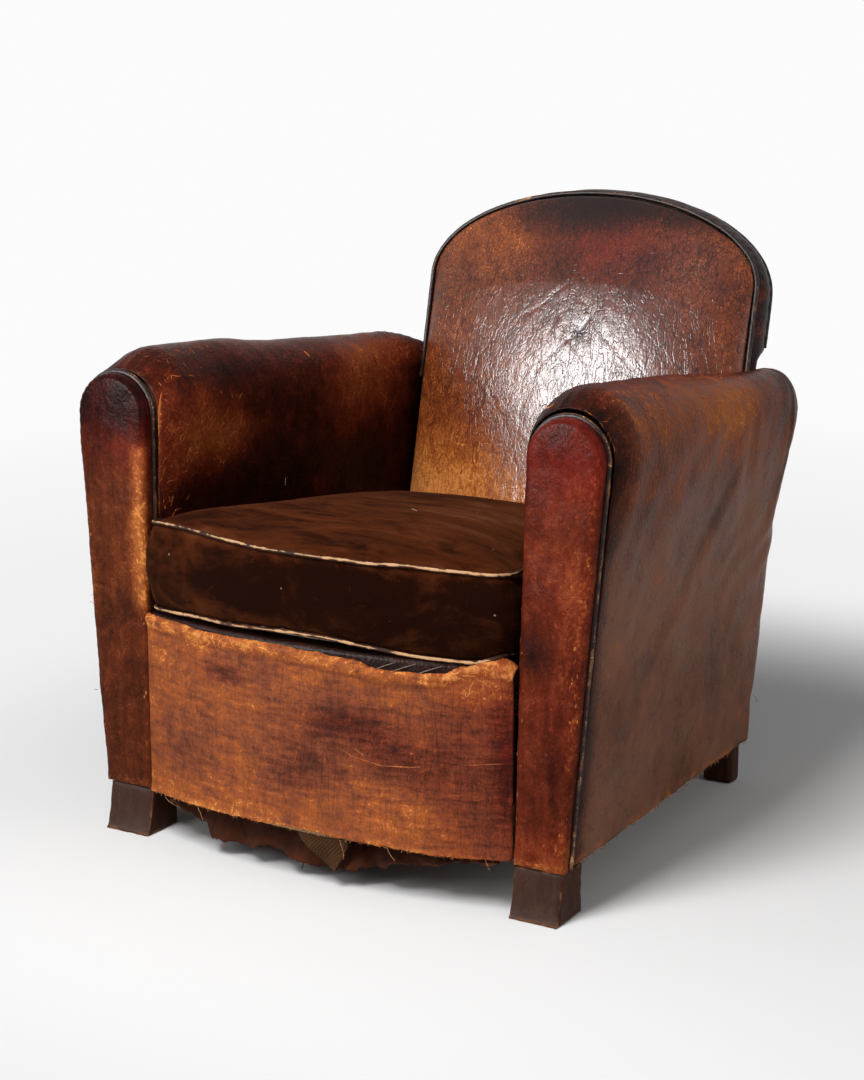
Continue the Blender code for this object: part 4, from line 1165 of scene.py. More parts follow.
def welt(name, points, radius, worn_side, finish, stands_for, wear, closed=False, waver=0.0006):
    """A welt along the points; worn_side(p) is the direction that rubs."""
    spots = evenly(points, WELT_STEP, closed)
    count = len(spots)
    frames = []
    for i, p in enumerate(spots):
        ahead = spots[(i + 1) % count] if closed or i < count - 1 else p
        behind = spots[i - 1] if closed or i > 0 else p
        going = (ahead - behind).normalized()
        out = worn_side(p)
        out = (out - going * out.dot(going)).normalized()
        frames.append((out, going.cross(out)))
    rows = even(count if closed else count - 1, 0, count if closed else count - 1)

    def place(u, v):
        i = round(v) % count
        out, other = frames[i]
        p = spots[i]
        turn = math.tau * u
        fat = radius * (1 + 0.10 * noise.noise(p * 70) + 0.06 * noise.noise(p * 260))
        sway = Vector([noise.noise(p * 23 + Vector((k * 7.0, 0, 0))) for k in range(3)]) * waver
        return p + sway + (out * math.cos(turn) + other * math.sin(turn)) * fat

    def tone(u, v, p):
        facing = math.cos(math.tau * u)
        patch = cloud_at(p, 22, 3.0, 3) - 0.5
        fine = cloud_at(p, 90, 5.0, 3) - 0.5
        rubbed = ease((facing - 0.88 + 0.45 * patch + 0.35 * fine) / 0.12) * wear * 1.5
        return clamp(rubbed), clamp(0.85 - 0.5 * rubbed), 0.2

    form = lay(place, even(WELT_SIDES), rows, tone=tone, cloth=(radius * 6, WELT_STEP))
    bmesh.ops.remove_doubles(form, verts=form.verts[:], dist=TOUCH)
    rims = [e for e in form.edges if e.is_boundary]
    if rims:
        bmesh.ops.holes_fill(form, edges=rims, sides=0)
    bmesh.ops.recalc_face_normals(form, faces=form.faces[:])
    return piece(form, name, finish, stands_for, merge=0)


# %% Welts of the arms and the back
def arm_welt_path(side):
    spots = []
    for t in even(96, 0.0, 0.94):
        x, z = facing_line(t, side, 0.0010)
        z = max(z, APRON_BOTTOM + 0.001)
        spots.append(at(x * side, face_y(z) + 0.0200, z))
    return spots


for word, side in SIDES:
    middle = 0.319 * side

    def outward(p, middle=middle):
        away = Vector((p.x - middle, 0, max(p.z - SPRING, 0))).normalized()
        return (away + Vector((0, -0.55, 0))).normalized()

    welt(f"arm_welt_{word}", arm_welt_path(side), ARM_WELT, outward, welt_finish,
         [f"arm_piping_{word}"], wear=0.60 if side > 0 else 0.42)


def back_welt_path(low, rear):
    spots = []
    for t in even(120, -1, 1):
        x, z = back_outline(t, low, rear, shrink=0.0032)
        spots.append(at(x, rear_y(z) - mix(BAND_DEPTH, 0.0004, rear), z))
    return spots


def back_outward(p):
    return (from_arch(p.x, p.z).normalized() * 0.7 + Vector((0, -1, 0))).normalized()


welt("back_welt_front", back_welt_path(0.520, 0), BACK_WELT, back_outward, welt_finish,
     ["back_front_piping"], wear=0.45)
welt("back_welt_rear", back_welt_path(0.590, 1), BACK_WELT, lambda p: from_arch(p.x, p.z, 0.2),
     welt_finish, ["back_rear_piping"], wear=0.4)

# %% [markdown]
# ## Velvet
# Velvet is a short upright pile. It looks nearly black when one looks into it, and lighter brown where it
# is seen edge on or where the pile has been brushed over, and both are needed for it to read as velvet. A
# faint sheen lights the edges. Brushed patches, streaks and crushed spots in the colour and the relief do
# the rest, and a few specks of lint sit on top.

# %% Velvet finish
PILE_DARK = (0.0100, 0.0023, 0.0009)
PILE_BROWN = (0.060, 0.0140, 0.0042)
PILE_WORN = (0.120, 0.040, 0.017)
LINT = (0.42, 0.34, 0.27)

velvet_finish, tree, shader, place = new_finish("brown_velvet")
light = painted_tone(tree)[0]
swept = stretched(place, (1.0, 3.4, 1.6), (0, 0, 0.5))
brushed = spread(clouds(swept, 11.0, 6.0, 0.64, 0.8), 0.22, 0.78, 0.23, 0.77)
crushed = clouds(place, 60.0, 5.0, 0.65, 0.3)
pile = clouds(place, 1100.0, 2.0, 0.6)
for layer, share in ((brushed, 1.45), (crushed, 0.36), (centred(pile), 0.7)):
    light = plus(layer, share, light)
colour = mixed(spread(light, 0.72, 1.45), PILE_DARK, PILE_BROWN)
colour = mixed(spread(light, 1.30, 2.10), colour, PILE_WORN)
streaks = hair_lines(place, 16.0, (0.5, 1.0, 0.8), (0.2, 0.1, 0.9), 0.010)
streaks = times(streaks, spread(crushed, 0.5, 0.7, 0.0, 0.25))
colour = mixed(streaks, colour, PILE_WORN)
speck = cells(place, 48.0)
picked = spread(one_part(speck["Color"]), 0.86, 0.87)
lint = times(spread(speck["Distance"], 0.072, 0.035), picked)
colour = mixed(times(lint, 0.7), colour, LINT)
relief = plus(crushed, 0.9, plus(pile, 0.35, brushed))
fill(tree, shader, {"Base Color": colour, "Normal": bumped(relief, 0.0012), "Roughness": 0.92,
                    "Specular IOR Level": 0.01, "Sheen Weight": 0.05, "Sheen Roughness": 0.38,
                    "Sheen Tint": (0.85, 0.42, 0.22)})
print("velvet:", velvet_finish.name)

# %% [markdown]
# ## Seat cushion
# The cushion is one closed cover: bottom panel, boxing and crowned top panel, seamed together. It is laid as
# a single grid that starts at the middle of the bottom and ends at the middle of the top, so that the two
# seams are rows of that grid. The cloth simulation then blows it up a little with those rows held, as the
# filling does in the real one, and the puckers that run into the seams are pressed in afterwards.

# %% Outline of the cushion
def cushion_path(grow):
    """The cushion seen from above: bowed front, round rear corners, from the middle of the front."""
    half, rear, rear_round, front_round = 0.249 + grow, 0.577 + grow, 0.055, 0.026
    side_front = bow(half) + 0.004 - grow + front_round
    path = [(x, bow(x) + 0.003 - grow) for x in even(24, 0, half - front_round)]
    start = path[-1][1]
    for turn in even(10, 0, math.pi / 2)[1:]:
        path.append((half - front_round * (1 - math.sin(turn)), mix(start, side_front, 1 - math.cos(turn))))
    path += [(half, y) for y in even(12, side_front, rear - rear_round)[1:]]
    for turn in even(12, 0, math.pi / 2)[1:]:
        path.append((half - rear_round * (1 - math.cos(turn)), rear - rear_round * (1 - math.sin(turn))))
    path += [(x, rear) for x in even(8, half - rear_round, 0)[1:]]
    # the front corners stand out past the arms, where nothing holds them in
    ears = mix(0.003, 0.012, clamp((grow + 0.0024) / 0.0099))
    path = [(x + ears * ease((x - 0.17) / 0.07) * ease((0.055 - y) / 0.04), y) for x, y in path]
    whole = path + [(-x, y) for x, y in reversed(path[1:-1])]
    return [Vector((x, y, 0)) for x, y in whole]


ROUND = 288


def cushion_ring(grow):
    path = cushion_path(grow)
    length = sum((q - p).length for p, q in zip(path, path[1:] + path[:1]))
    ring = evenly(path, length / (ROUND + 0.5), closed=True)
    return ring[:ROUND]


def seam_dip(x, y):
    """How far the top seam sags: a little in front, more at the rear, and least at the right front corner."""
    front = ease(1 - y / 0.10)
    return front * (0.0015 - 0.0095 * ease((-x - 0.03) / 0.20)) + 0.010 * ease((y - 0.15) / 0.40)


def low_wave(x, y):
    """How the bottom seam wanders along the front."""
    wave = 0.006 * hump(x, 0.0, 0.09) - 0.005 * hump(x, 0.17, 0.07) + 0.008 * ease((x - 0.22) / 0.04)
    return wave * ease(1 - y / 0.12)


PANEL_RING = cushion_ring(-0.0024)
BOXING_RINGS = {}
SEAM_LOW, SEAM_HIGH, CROWN = 0.308, 0.412, 0.455
BOTTOM_ROWS, SIDE_ROWS, TOP_ROWS = 22, 17, 44


def cushion_place(t, row):
    """row 0-1 over the bottom panel, 1-2 up the boxing, 2-3 over the top panel to its middle."""
    i = round(t * ROUND) % ROUND
    if row <= 1 or row >= 2:
        s = row if row <= 1 else 3 - row
        x, y = PANEL_RING[i].x, PANEL_RING[i].y
        px, py = x * s, mix(0.200, y, s)
        if row <= 1:
            flat = SEAM_LOW - 0.0016 - 0.0064 * clamp((1 - s) / (1 - 0.667))
            flat += low_wave(px, py) * ease((s - 0.7) / 0.3)
            return at(px, py, flat + 0.002 * ease((s - 0.9) / 0.1) + seat_fall(py))
        flattened = ease((y - 0.15) / 0.35)
        fall = max(1 - s ** mix(2.4, 1.8, flattened), 0) ** mix(0.8, 1.1, flattened)
        seam = SEAM_HIGH - seam_dip(x, y) + 0.0010
        return at(px, py, seam + (CROWN - seam) * fall + seat_fall(py))
    w = row - 1
    if row not in BOXING_RINGS:
        BOXING_RINGS[row] = cushion_ring(0.0075 * math.sin(math.pi * w) ** 0.8)
    x, y = BOXING_RINGS[row][i].x, BOXING_RINGS[row][i].y
    z = mix(SEAM_LOW + 0.0020 + low_wave(x, y), SEAM_HIGH - 0.0016 - seam_dip(x, y), w)
    return at(x, y, z + seat_fall(y))


def cushion_tone(t, row, p):
    broad = cloud_at(p, 7, 14.0, 3) - 0.5
    # the top panel is painted lighter than the boxing and the bottom: a painted sheen of the velvet seen edge
    # on
    worn = (0.06 if row > 2 else -0.10) + 0.35 * broad
    if row > 2:
        # more painted sheen, growing in from the top seam over the top panel
        worn += 0.16 * ease((row - 2) / 0.2)
        worn += 0.45 * blob(p, (0.13, TOE + 0.20, p.z), (0.10, 0.13, 1))
        worn += 0.15 * blob(p, (-0.12, TOE + 0.16, p.z), (0.12, 0.10, 1))
    elif row > 1:
        worn += 0.34 * spot(p, -0.215, 0.40, 0.07, 0.035) + 0.20 * ease((row - 1.80) / 0.2)
        worn += 0.30 * spot(p, -0.12, 0.325, 0.16, 0.014) - 0.16 * spot(p, 0.05, 0.36, 0.15, 0.06)
    worn += 0.30 * hump(row, 2, 0.06) + 0.30 * hump(row, 1, 0.05)
    return worn, 0.0, 0.0


CUSHION_ROWS = even(BOTTOM_ROWS, 0, 1) + even(SIDE_ROWS, 1, 2)[1:] + even(TOP_ROWS, 2, 3)[1:]
form = lay(cushion_place, even(ROUND), CUSHION_ROWS, tone=cushion_tone, cloth=(2.1, 0.55))
bmesh.ops.remove_doubles(form, verts=form.verts[:], dist=TOUCH)
bmesh.ops.recalc_face_normals(form, faces=form.faces[:])
cushion = piece(form, "cushion_cover", velvet_finish,
                ["cushion_top", "cushion_boxing", "cushion_bottom"], merge=0)


# %% Blow the cushion up as cloth, with its seams held
def seam_height(p, top):
    y = p.y - TOE
    return (SEAM_HIGH - seam_dip(p.x, y) if top else SEAM_LOW + low_wave(p.x, y)) + seat_fall(y)


def on_seam(p, reach):
    """One at a seam of the cushion, fading over the reach."""
    rim = min((Vector((p.x, p.y - TOE, 0)) - q).length for q in PANEL_RING[::4])
    if rim > 0.03:
        return 0.0
    off = min(abs(p.z - seam_height(p, True)), abs(p.z - seam_height(p, False)))
    return math.exp(-(off / reach) ** 2 - (max(rim - 0.004, 0) / reach) ** 2)


def blow_up(made, held, pressure, cap, frames):
    """Run cloth with pressure, keep the points named in held, and cap how far the others may go."""
    mesh = made.data
    before = [v.co.copy() for v in mesh.vertices]
    pins = made.vertex_groups.new(name="held")
    for index, weight in held.items():
        pins.add([index], weight, "REPLACE")
    cloth = made.modifiers.new("cloth", "CLOTH")
    how = cloth.settings
    how.quality = 4
    how.vertex_group_mass = "held"
    how.use_pressure = True
    how.uniform_pressure_force = pressure
    how.effector_weights.gravity = 0
    how.tension_stiffness = how.compression_stiffness = 25
    how.bending_stiffness = 0.8
    cloth.collision_settings.use_collision = False
    cloth.point_cache.frame_start, cloth.point_cache.frame_end = 1, frames
    scene = bpy.context.scene
    for frame_number in range(1, frames + 1):
        scene.frame_set(frame_number)
    shaped = made.evaluated_get(bpy.context.evaluated_depsgraph_get()).to_mesh()
    moves = [w.co - p for w, p in zip(shaped.vertices, before)]
    made.evaluated_get(bpy.context.evaluated_depsgraph_get()).to_mesh_clear()
    made.modifiers.remove(cloth)
    made.vertex_groups.remove(pins)
    scene.frame_set(1)
    furthest = max(m.length for m in moves)
    for v, p, move in zip(mesh.vertices, before, moves):
        if move.length > cap:
            move = move.normalized() * cap
        v.co = p + move
    print(made.name, "blown up by at most", round(furthest * 1000, 1), "mm")


seams = {}
for v in cushion.data.vertices:
    weight = on_seam(v.co, 0.004)
    if weight > 0.05 or v.co.z < seam_height(v.co, False) - 0.001:
        seams[v.index] = max(weight, 0.6)
blow_up(cushion, seams, pressure=3.0, cap=0.007, frames=20)


# %% Puckers into the seams, and the dents of use
def press_cushion(mesh):
    mesh.update()
    normals = [v.normal.copy() for v in mesh.vertices]
    for v, normal in zip(mesh.vertices, normals):
        p = v.co.copy()
        near = on_seam(p, 0.016)
        tight = on_seam(p, 0.0045)
        round_about = math.atan2(p.y - TOE - 0.25, p.x)
        pucker = math.sin(round_about * 46 + 7 * cloud_at(p, 9, 5.0, 2))
        move = -0.0024 * tight + 0.0011 * pucker * (near - tight) + 0.0030 * (cloud_at(p, 8, 2.0, 2) - 0.5)
        folds = math.sin((p.z + 0.06 * cloud_at(p, 6, 8.0, 2)) * 190) if p.z < seam_height(p, True) else 0.0
        move += 0.0008 * folds * (1 - near)
        if p.z > seam_height(p, False) - 0.002:
            v.co = p + normal * move


press_cushion(cushion.data)

# %% Cushion welts
def cushion_welt_path(top):
    spots = []
    for q in cushion_ring(0.0012):
        p = at(q.x, q.y, 0)
        z = seam_height(p, top) + 0.0024 * wobble(p.x * 16, p.y * 16, 3 + 5 * top)
        spots.append(Vector((p.x, p.y, z + (0.0 if top else 0.0008))))
    return spots


for name, top in (("cushion_top", True), ("cushion_bottom", False)):
    welt(f"{name}_welt", cushion_welt_path(top), CUSHION_WELT,
         lambda p: Vector((p.x, p.y - TOE - 0.25, 0)).normalized() + Vector((0, 0, 0.55 if top else 0.2)),
         cord_finish, [f"{name}_piping"], closed=True, waver=0.0013, wear=1.3)

# %% [markdown]
# ## Torn cloth under the seat
# The dust cover is tacked under the seat and has torn along the front, where it hangs in folds below the
# apron. A triangle of the seat's burlap has come through beside it. Both are sheets of one cloth.

# %% Cloth finishes
def woven(name, light, dark, thread, fuzz=0.4):
    """Plain weave: two sets of threads over and under one another, from the object's own places."""
    material, tree, shader, place = new_finish(name)
    moved = vector("ADD", place, vector("MULTIPLY", drift(place, 30.0), (thread * 2.5,) * 3))
    across, back, up = step("SeparateXYZ", {0: moved}).outputs
    turn = math.pi / thread
    warp = maths("SINE", times(across, turn))
    weft = maths("SINE", maths("ADD", times(back, turn), times(up, turn)))
    over = times(warp, weft)
    hollow = times(maths("ABSOLUTE", warp), maths("ABSOLUTE", weft))
    patchy = clouds(place, 18.0, 5.0, 0.65)
    fine = clouds(place, 700.0, 2.0, 0.6)
    colour = mixed(spread(plus(over, 0.35, patchy), 0.15, 0.95), dark, light)
    colour = mixed(spread(hollow, 0.25, 0.0, 0.0, 0.7), colour, tuple(c * 0.25 for c in dark))
    relief = plus(fine, fuzz, maths("ADD", hollow, over))
    fill(tree, shader, {"Base Color": colour, "Normal": bumped(relief, thread * 0.5, 0.8),
                        "Roughness": 0.9, "Specular IOR Level": 0.03, "Sheen Weight": 0.02})
    return material


under_finish = woven("torn_brown_cloth", (0.150, 0.042, 0.017), (0.030, 0.009, 0.004), 0.0011)
flap_finish = woven("flap_weave", (0.13, 0.058, 0.020), (0.045, 0.018, 0.006), 0.0022, fuzz=0.8)
jute_finish = woven("jute_weave", (0.30, 0.15, 0.055), (0.13, 0.058, 0.020), 0.0026, fuzz=0.8)
cotton_finish = woven("cotton_wadding", (0.56, 0.48, 0.36), (0.40, 0.33, 0.24), 0.0040, fuzz=2.5)
hair_finish = woven("curled_hair", (0.10, 0.060, 0.035), (0.030, 0.017, 0.010), 0.0032, fuzz=3.0)
print("cloths:", [m.name for m in (under_finish, flap_finish, jute_finish, cotton_finish, hair_finish)])

# %% Dust cover
HANG = [(-0.25, 0.062), (-0.22, 0.057), (-0.18, 0.036), (-0.157, 0.024), (-0.118, 0.020), (-0.072, 0.027),
        (-0.027, 0.022), (0.01, 0.015), (0.047, 0.022), (0.09, 0.030), (0.119, 0.042), (0.144, 0.041),
        (0.20, 0.056), (0.25, 0.062)]
DUST_COVER_Z = 0.0648
TEAR = 0.030


def dust_point(u, v):
    """v 0-1 forward under the seat, 1-2 down the torn front edge."""
    x = u * 0.250
    if v <= 1:
        sag = 0.012 * (1 - u * u) * math.sin(math.pi * v)
        ruck = 0.004 * wobble(x * 14, v * 4, 1.0) * math.sin(math.pi * clamp(v))
        return at(x, mix(0.560, TEAR, v), DUST_COVER_Z - sag + min(ruck, 0.001))
    drop = v - 1
    hem = line_at(HANG, x) + 0.005 * wobble(x * 45, 4.0) + 0.003 * wobble(x * 150, 9.0)
    z = mix(DUST_COVER_Z, max(hem, 0.012), drop ** 1.2)
    forward = 0.024 * math.sin(drop * math.pi / 2)
    folds = 0.008 * math.sin(x * 95 + 3 * wobble(x * 9, drop, 2.0)) * drop
    return at(x, TEAR - forward + folds + bow(x) * 0.45 * drop, z)


def dust_relief(u, v, p):
    return mix(0.0016, 0.0070, clamp(v - 0.95)) * (cloud_at(p, 34, 4.0, 3) - 0.5)


form = lay(dust_point, even(240, -1, 1), even(60, 0, 1) + even(18, 1, 2)[1:], dust_relief, flip=True)
dust_cover = piece(form, "dust_cloth", under_finish, ["dust_cover"], thick=0.0009)


# %% Torn burlap triangle
def flap_point(u, v):
    middle = mix(0.028, 0.036, v)
    half = mix(0.036, 0.0045, v ** 1.2)
    curl = 0.004 * math.sin(v * 5) * u
    return at(middle + u * half, bow(0) + 0.0040 + 0.010 * v + curl, mix(0.0678, 0.022, v))


form = lay(flap_point, even(16, -1, 1), even(22), flip=True)
flap = piece(form, "burlap_corner", flap_finish, ["burlap_flap"], thick=0.0010)

# %% [markdown]
# ## Wood
# The feet and the rear legs are dark stained hardwood, knocked and rubbed to a lighter brown along their
# edges. The rails inside are plain beech. Both use one finish with different colours: rings stretched along
# the grain, fine pores, and worn edges taken from the painted tone.

# %% Wood finish
def wood(name, light, dark, worn, rough, grain=(26.0, 26.0, 3.0)):
    material, tree, shader, place = new_finish(name)
    rings = clouds(stretched(place, grain), 4.0, 6.0, 0.62, 1.4)
    pores = clouds(stretched(place, tuple(5 * c for c in grain)), 9.0, 3.0, 0.6)
    patchy = clouds(place, 45.0, 6.0, 0.7)
    colour = mixed(spread(rings, 0.32, 0.68), dark, light)
    colour = mixed(spread(pores, 0.62, 0.45, 0.0, 0.5), colour, tuple(c * 0.5 for c in dark))
    rubbed = spread(plus(patchy, 0.9, painted_tone(tree)[0]), 0.62, 1.15)
    relief = plus(patchy, 0.8, maths("ADD", rings, times(pores, 0.5)))
    fill(tree, shader, {"Base Color": mixed(rubbed, colour, worn), "Specular IOR Level": 0.06,
                        "Roughness": spread(patchy, 0.2, 0.8, rough - 0.1, rough + 0.18),
                        "Normal": bumped(relief, 0.0012, 0.6)})
    return material


foot_finish = wood("stained_foot", (0.058, 0.022, 0.011), (0.034, 0.012, 0.006), (0.21, 0.085, 0.036), 0.45)
beech_finish = wood("frame_beech", (0.42, 0.26, 0.14), (0.30, 0.17, 0.085), (0.36, 0.22, 0.12), 0.55,
                    (5.0, 26.0, 26.0))
steel_finish, tree, shader, place = new_finish("spring_wire")
rust = spread(clouds(place, 60.0, 5.0, 0.7), 0.45, 0.62)
fill(tree, shader, {"Base Color": mixed(rust, (0.24, 0.22, 0.20), (0.14, 0.055, 0.022)),
                    "Roughness": spread(rust, 0.0, 1.0, 0.35, 0.8), "Metallic": 0.8})
print("woods and wire:", foot_finish.name, beech_finish.name, steel_finish.name)


# %% Front feet
FOOT_HIGH = 0.0617
FOOT_IN, FOOT_OUT = 0.2663, 0.3310
FOOT_REAR = 0.065
FOOT_FLARE = 0.015


def foot_form(corners, rise, cuts, seed):
    """A block from bmesh, cut fine, shaped by corners(height) and knocked at its edges."""
    form = bmesh.new()
    layer = form.verts.layers.float_color.new("tone")
    bmesh.ops.create_cube(form, size=1.0)
    bmesh.ops.subdivide_edges(form, edges=form.edges[:], cuts=cuts, use_grid_fill=True)
    for v in form.verts:
        x, y, t = v.co.x + 0.5, v.co.y + 0.5, v.co.z + 0.5
        x0, x1, y0, y1 = corners(t)
        ends = (min(x, 1 - x) * (x1 - x0), min(y, 1 - y) * (y1 - y0), min(t, 1 - t) * rise)
        near = sorted(ends)[1]
        p = at(mix(x0, x1, x), mix(y0, y1, y), rise * t)
        middle = at((x0 + x1) / 2, (y0 + y1) / 2, rise * 0.5)
        rounding = 0.0012 * ease(1 - near / 0.004)
        knock = 0.0016 * max(noise.noise(p * 60 + Vector((seed, 0, 0))), 0) * ease(1 - near / 0.008)
        slow = 0.0008 * noise.noise(p * 30)
        v.co = p + (middle - p).normalized() * (rounding + knock + slow)
        v.co.z = max(v.co.z, 0.0)
        worn = ease(1 - near / 0.005) * (0.9 * cloud_at(p, 60, seed, 3) - 0.10)
        v[layer] = (clamp(worn + 0.20 * ease((0.010 - p.z) / 0.010)), 0, 0, 1)
    return form


def front_corners(side):
    """Left, right, front and rear of the foot at a height: its front flares out towards the floor."""
    def corners(t):
        ends = sorted((side * FOOT_IN, side * (FOOT_OUT + spare(side) / 2)))
        return *ends, FOOT_FLARE * t ** 0.55, FOOT_REAR
    return corners


for word, side in SIDES:
    piece(foot_form(front_corners(side), FOOT_HIGH, 19, 3.0 + side), f"foot_{word}", foot_finish,
          [f"front_foot_{word}"])

# %% [markdown]
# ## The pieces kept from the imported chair
# The frame, springs and webbing are already the right shape, so each only gets its finish.

# %% Finishes of the carried-over pieces
KEPT = {foot_finish: ["rear_leg"],
        beech_finish: ["arm_front_board", "side_rail", "tack_rail", "arm_rail", "front_rail", "rear_rail",
                       "crest_rail"],
        jute_finish: ["webbing", "spring_burlap"],
        hair_finish: ["stuffing", "edge_pad"],
        cotton_finish: ["facing_pad", "filling"],
        steel_finish: ["seat_spring", "back_spring"]}
unfinished = []
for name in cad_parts:
    kept = bpy.data.objects.get(name)
    finishes = [finish for finish, words in KEPT.items() if any(word in name for word in words)]
    if kept is None or not hasattr(kept.data, "materials"):
        continue
    if finishes:
        kept.data.materials.clear()
        kept.data.materials.append(finishes[0])
    else:
        unfinished.append(name)
print("replaced, so left without a finish:", unfinished)

# %% [markdown]
# ## Deep scratches, chips and torn edges
# A few marks are too sharp for a painted tone: scratches that go through the finish to bare leather, chips
# along the edges of the facings, and the frayed fibres of the cut edges. A scratch is a narrow patch laid on
# the finished panel, widest in its middle and ragged along its sides. Fibres and threads are thin tubes.

# %% Patches laid on a panel
bare_finish = leather("bare_leather", colours=APRON_RAMP, level=0.36, gloss=0.6, creases=0.0, uneven=0.7,
                      scored=0.2, specular=0.1)
GRAZE_STEP = 0.0015
GRAZE_LIFT, GRAZE_SINK = 0.00025, -0.0003
dice = random.Random(7)


def graze(form, panel, points, width, seed):
    """Add a ragged patch along the points, pressed onto the panel, to a form."""
    along = evenly([Vector(p) for p in points], GRAZE_STEP)
    count = len(along)
    rows = []
    for i, p in enumerate(along):
        t = i / (count - 1)
        going = (along[min(i + 1, count - 1)] - along[max(i - 1, 0)]).normalized()
        _, _, normal, _ = panel.closest_point_on_mesh(p)
        aside = normal.cross(going).normalized()
        wide = width * math.sin(math.pi * clamp(t)) ** 0.6
        row = []
        for k in (-1.0, -0.5, 0.0, 0.5, 1.0):
            rag = 1 + 0.7 * wobble(t * count * 0.35, k * 2 + seed, seed * 3)
            _, foot, up, _ = panel.closest_point_on_mesh(p + aside * k * wide * rag * 0.5)
            row.append(foot + up * (GRAZE_LIFT if abs(k) < 1 else GRAZE_SINK))
        rows.append(row)
    made = bmesh.ops.create_grid(form, x_segments=4, y_segments=count - 1, size=0.5)["verts"]
    for v in made:
        v.co = rows[round((v.co.y + 0.5) * (count - 1))][round((v.co.x + 0.5) * 4)]


def patches(name, panel_name, marks):
    """One piece of bare leather patches, each given by its points and its width."""
    panel = bpy.data.objects[panel_name]
    form = bmesh.new()
    layer = form.verts.layers.float_color.new("tone")
    for seed, (points, width) in enumerate(marks):
        graze(form, panel, points, width, seed * 1.7)
    for v in form.verts:
        v[layer] = (0.30 + 0.3 * cloud_at(v.co, 120, 2.0, 3), 0.0, 0.2, 1)
    form.normal_update()
    for face in form.faces:
        _, _, up, _ = panel.closest_point_on_mesh(face.calc_center_median())
        if face.normal.dot(up) < 0:
            face.normal_flip()
    return piece(form, name, bare_finish, merge=0, thick=0.0004)


def bowed(x, z):
    """A place on the front of the bowed apron."""
    return x, bow(x), z


SCRATCHES = {
    "arm_right": ("arm_hide_right", [
        ([(-0.262, 0.053, 0.580), (-0.264, 0.043, 0.545), (-0.266, 0.030, 0.500)], 0.0055),
        ([(-0.258, 0.180, 0.540), (-0.260, 0.192, 0.520), (-0.260, 0.200, 0.507)], 0.0030),
        ([(-0.258, 0.196, 0.512), (-0.260, 0.208, 0.508)], 0.0040),
        ([(-0.262, 0.386, 0.606), (-0.252, 0.390, 0.594)], 0.0060),
        ([(-0.245, 0.070, 0.610), (-0.240, 0.120, 0.600)], 0.0022),
        ([(-0.262, 0.030, 0.470), (-0.264, 0.033, 0.440)], 0.0030),
        ([(-0.264, 0.026, 0.455), (-0.266, 0.024, 0.420)], 0.0026),
        ([(-0.300, 0.040, 0.618), (-0.292, 0.046, 0.620)], 0.0050)]),
    "arm_left": ("arm_hide_left", [
        ([(0.372, 0.096, 0.590), (0.372, 0.100, 0.560), (0.369, 0.104, 0.540)], 0.0028),
        ([(0.370, 0.136, 0.505), (0.369, 0.140, 0.494)], 0.0040),
        ([(0.372, 0.118, 0.560), (0.370, 0.124, 0.535)], 0.0020),
        ([(0.355, 0.300, 0.590), (0.362, 0.360, 0.578)], 0.0022),
        ([(0.355, 0.440, 0.430), (0.352, 0.470, 0.470)], 0.0020),
        ([(0.318, 0.400, 0.605), (0.345, 0.430, 0.600), (0.370, 0.455, 0.585)], 0.0040),
        ([(0.270, 0.062, 0.600), (0.282, 0.052, 0.610)], 0.0040)]),
    "apron": ("apron_hide", [
        ([bowed(0.050, 0.186), bowed(0.075, 0.176), bowed(0.110, 0.169), bowed(0.150, 0.172),
          bowed(0.190, 0.180)], 0.0014),
        ([bowed(0.205, 0.180), bowed(0.258, 0.186)], 0.0012),
        ([bowed(0.066, 0.192), bowed(0.090, 0.178)], 0.0011),
        ([bowed(-0.200, 0.262), bowed(-0.150, 0.252)], 0.0018),
        ([bowed(-0.215, 0.120), bowed(-0.190, 0.112)], 0.0022),
        ([bowed(0.225, 0.288), bowed(0.250, 0.276)], 0.0024),
        ([bowed(0.205, 0.280), bowed(0.220, 0.270)], 0.0018)])}
for word, (panel_name, marks) in SCRATCHES.items():
    patches(f"scratches_{word}", panel_name, [([at(*p) for p in points], width) for points, width in marks])

# %% Clusters of fine scratches
def cluster(word, panel_name, count, middle, reach, lengths, widths, heading, swing):
    """Many short grazes scattered about a middle, most of them near one heading."""
    x, y, z = middle
    marks = []
    for _ in range(count):
        p = Vector([dice.gauss(m, r) for m, r in zip((x, TOE + y, z), reach)])
        _, start, up, _ = bpy.data.objects[panel_name].closest_point_on_mesh(p)
        flat = Vector([dice.gauss(h, swing) for h in heading]).normalized()
        going = (flat - up * flat.dot(up)).normalized()
        bend = up.cross(going) * dice.uniform(-0.35, 0.35)
        length = dice.uniform(*lengths)
        marks.append(([start, start + (going + bend * 0.3) * length * 0.5, start + (going + bend) * length],
                      dice.uniform(*widths)))
    patches(f"fine_scratches_{word}", panel_name, marks)


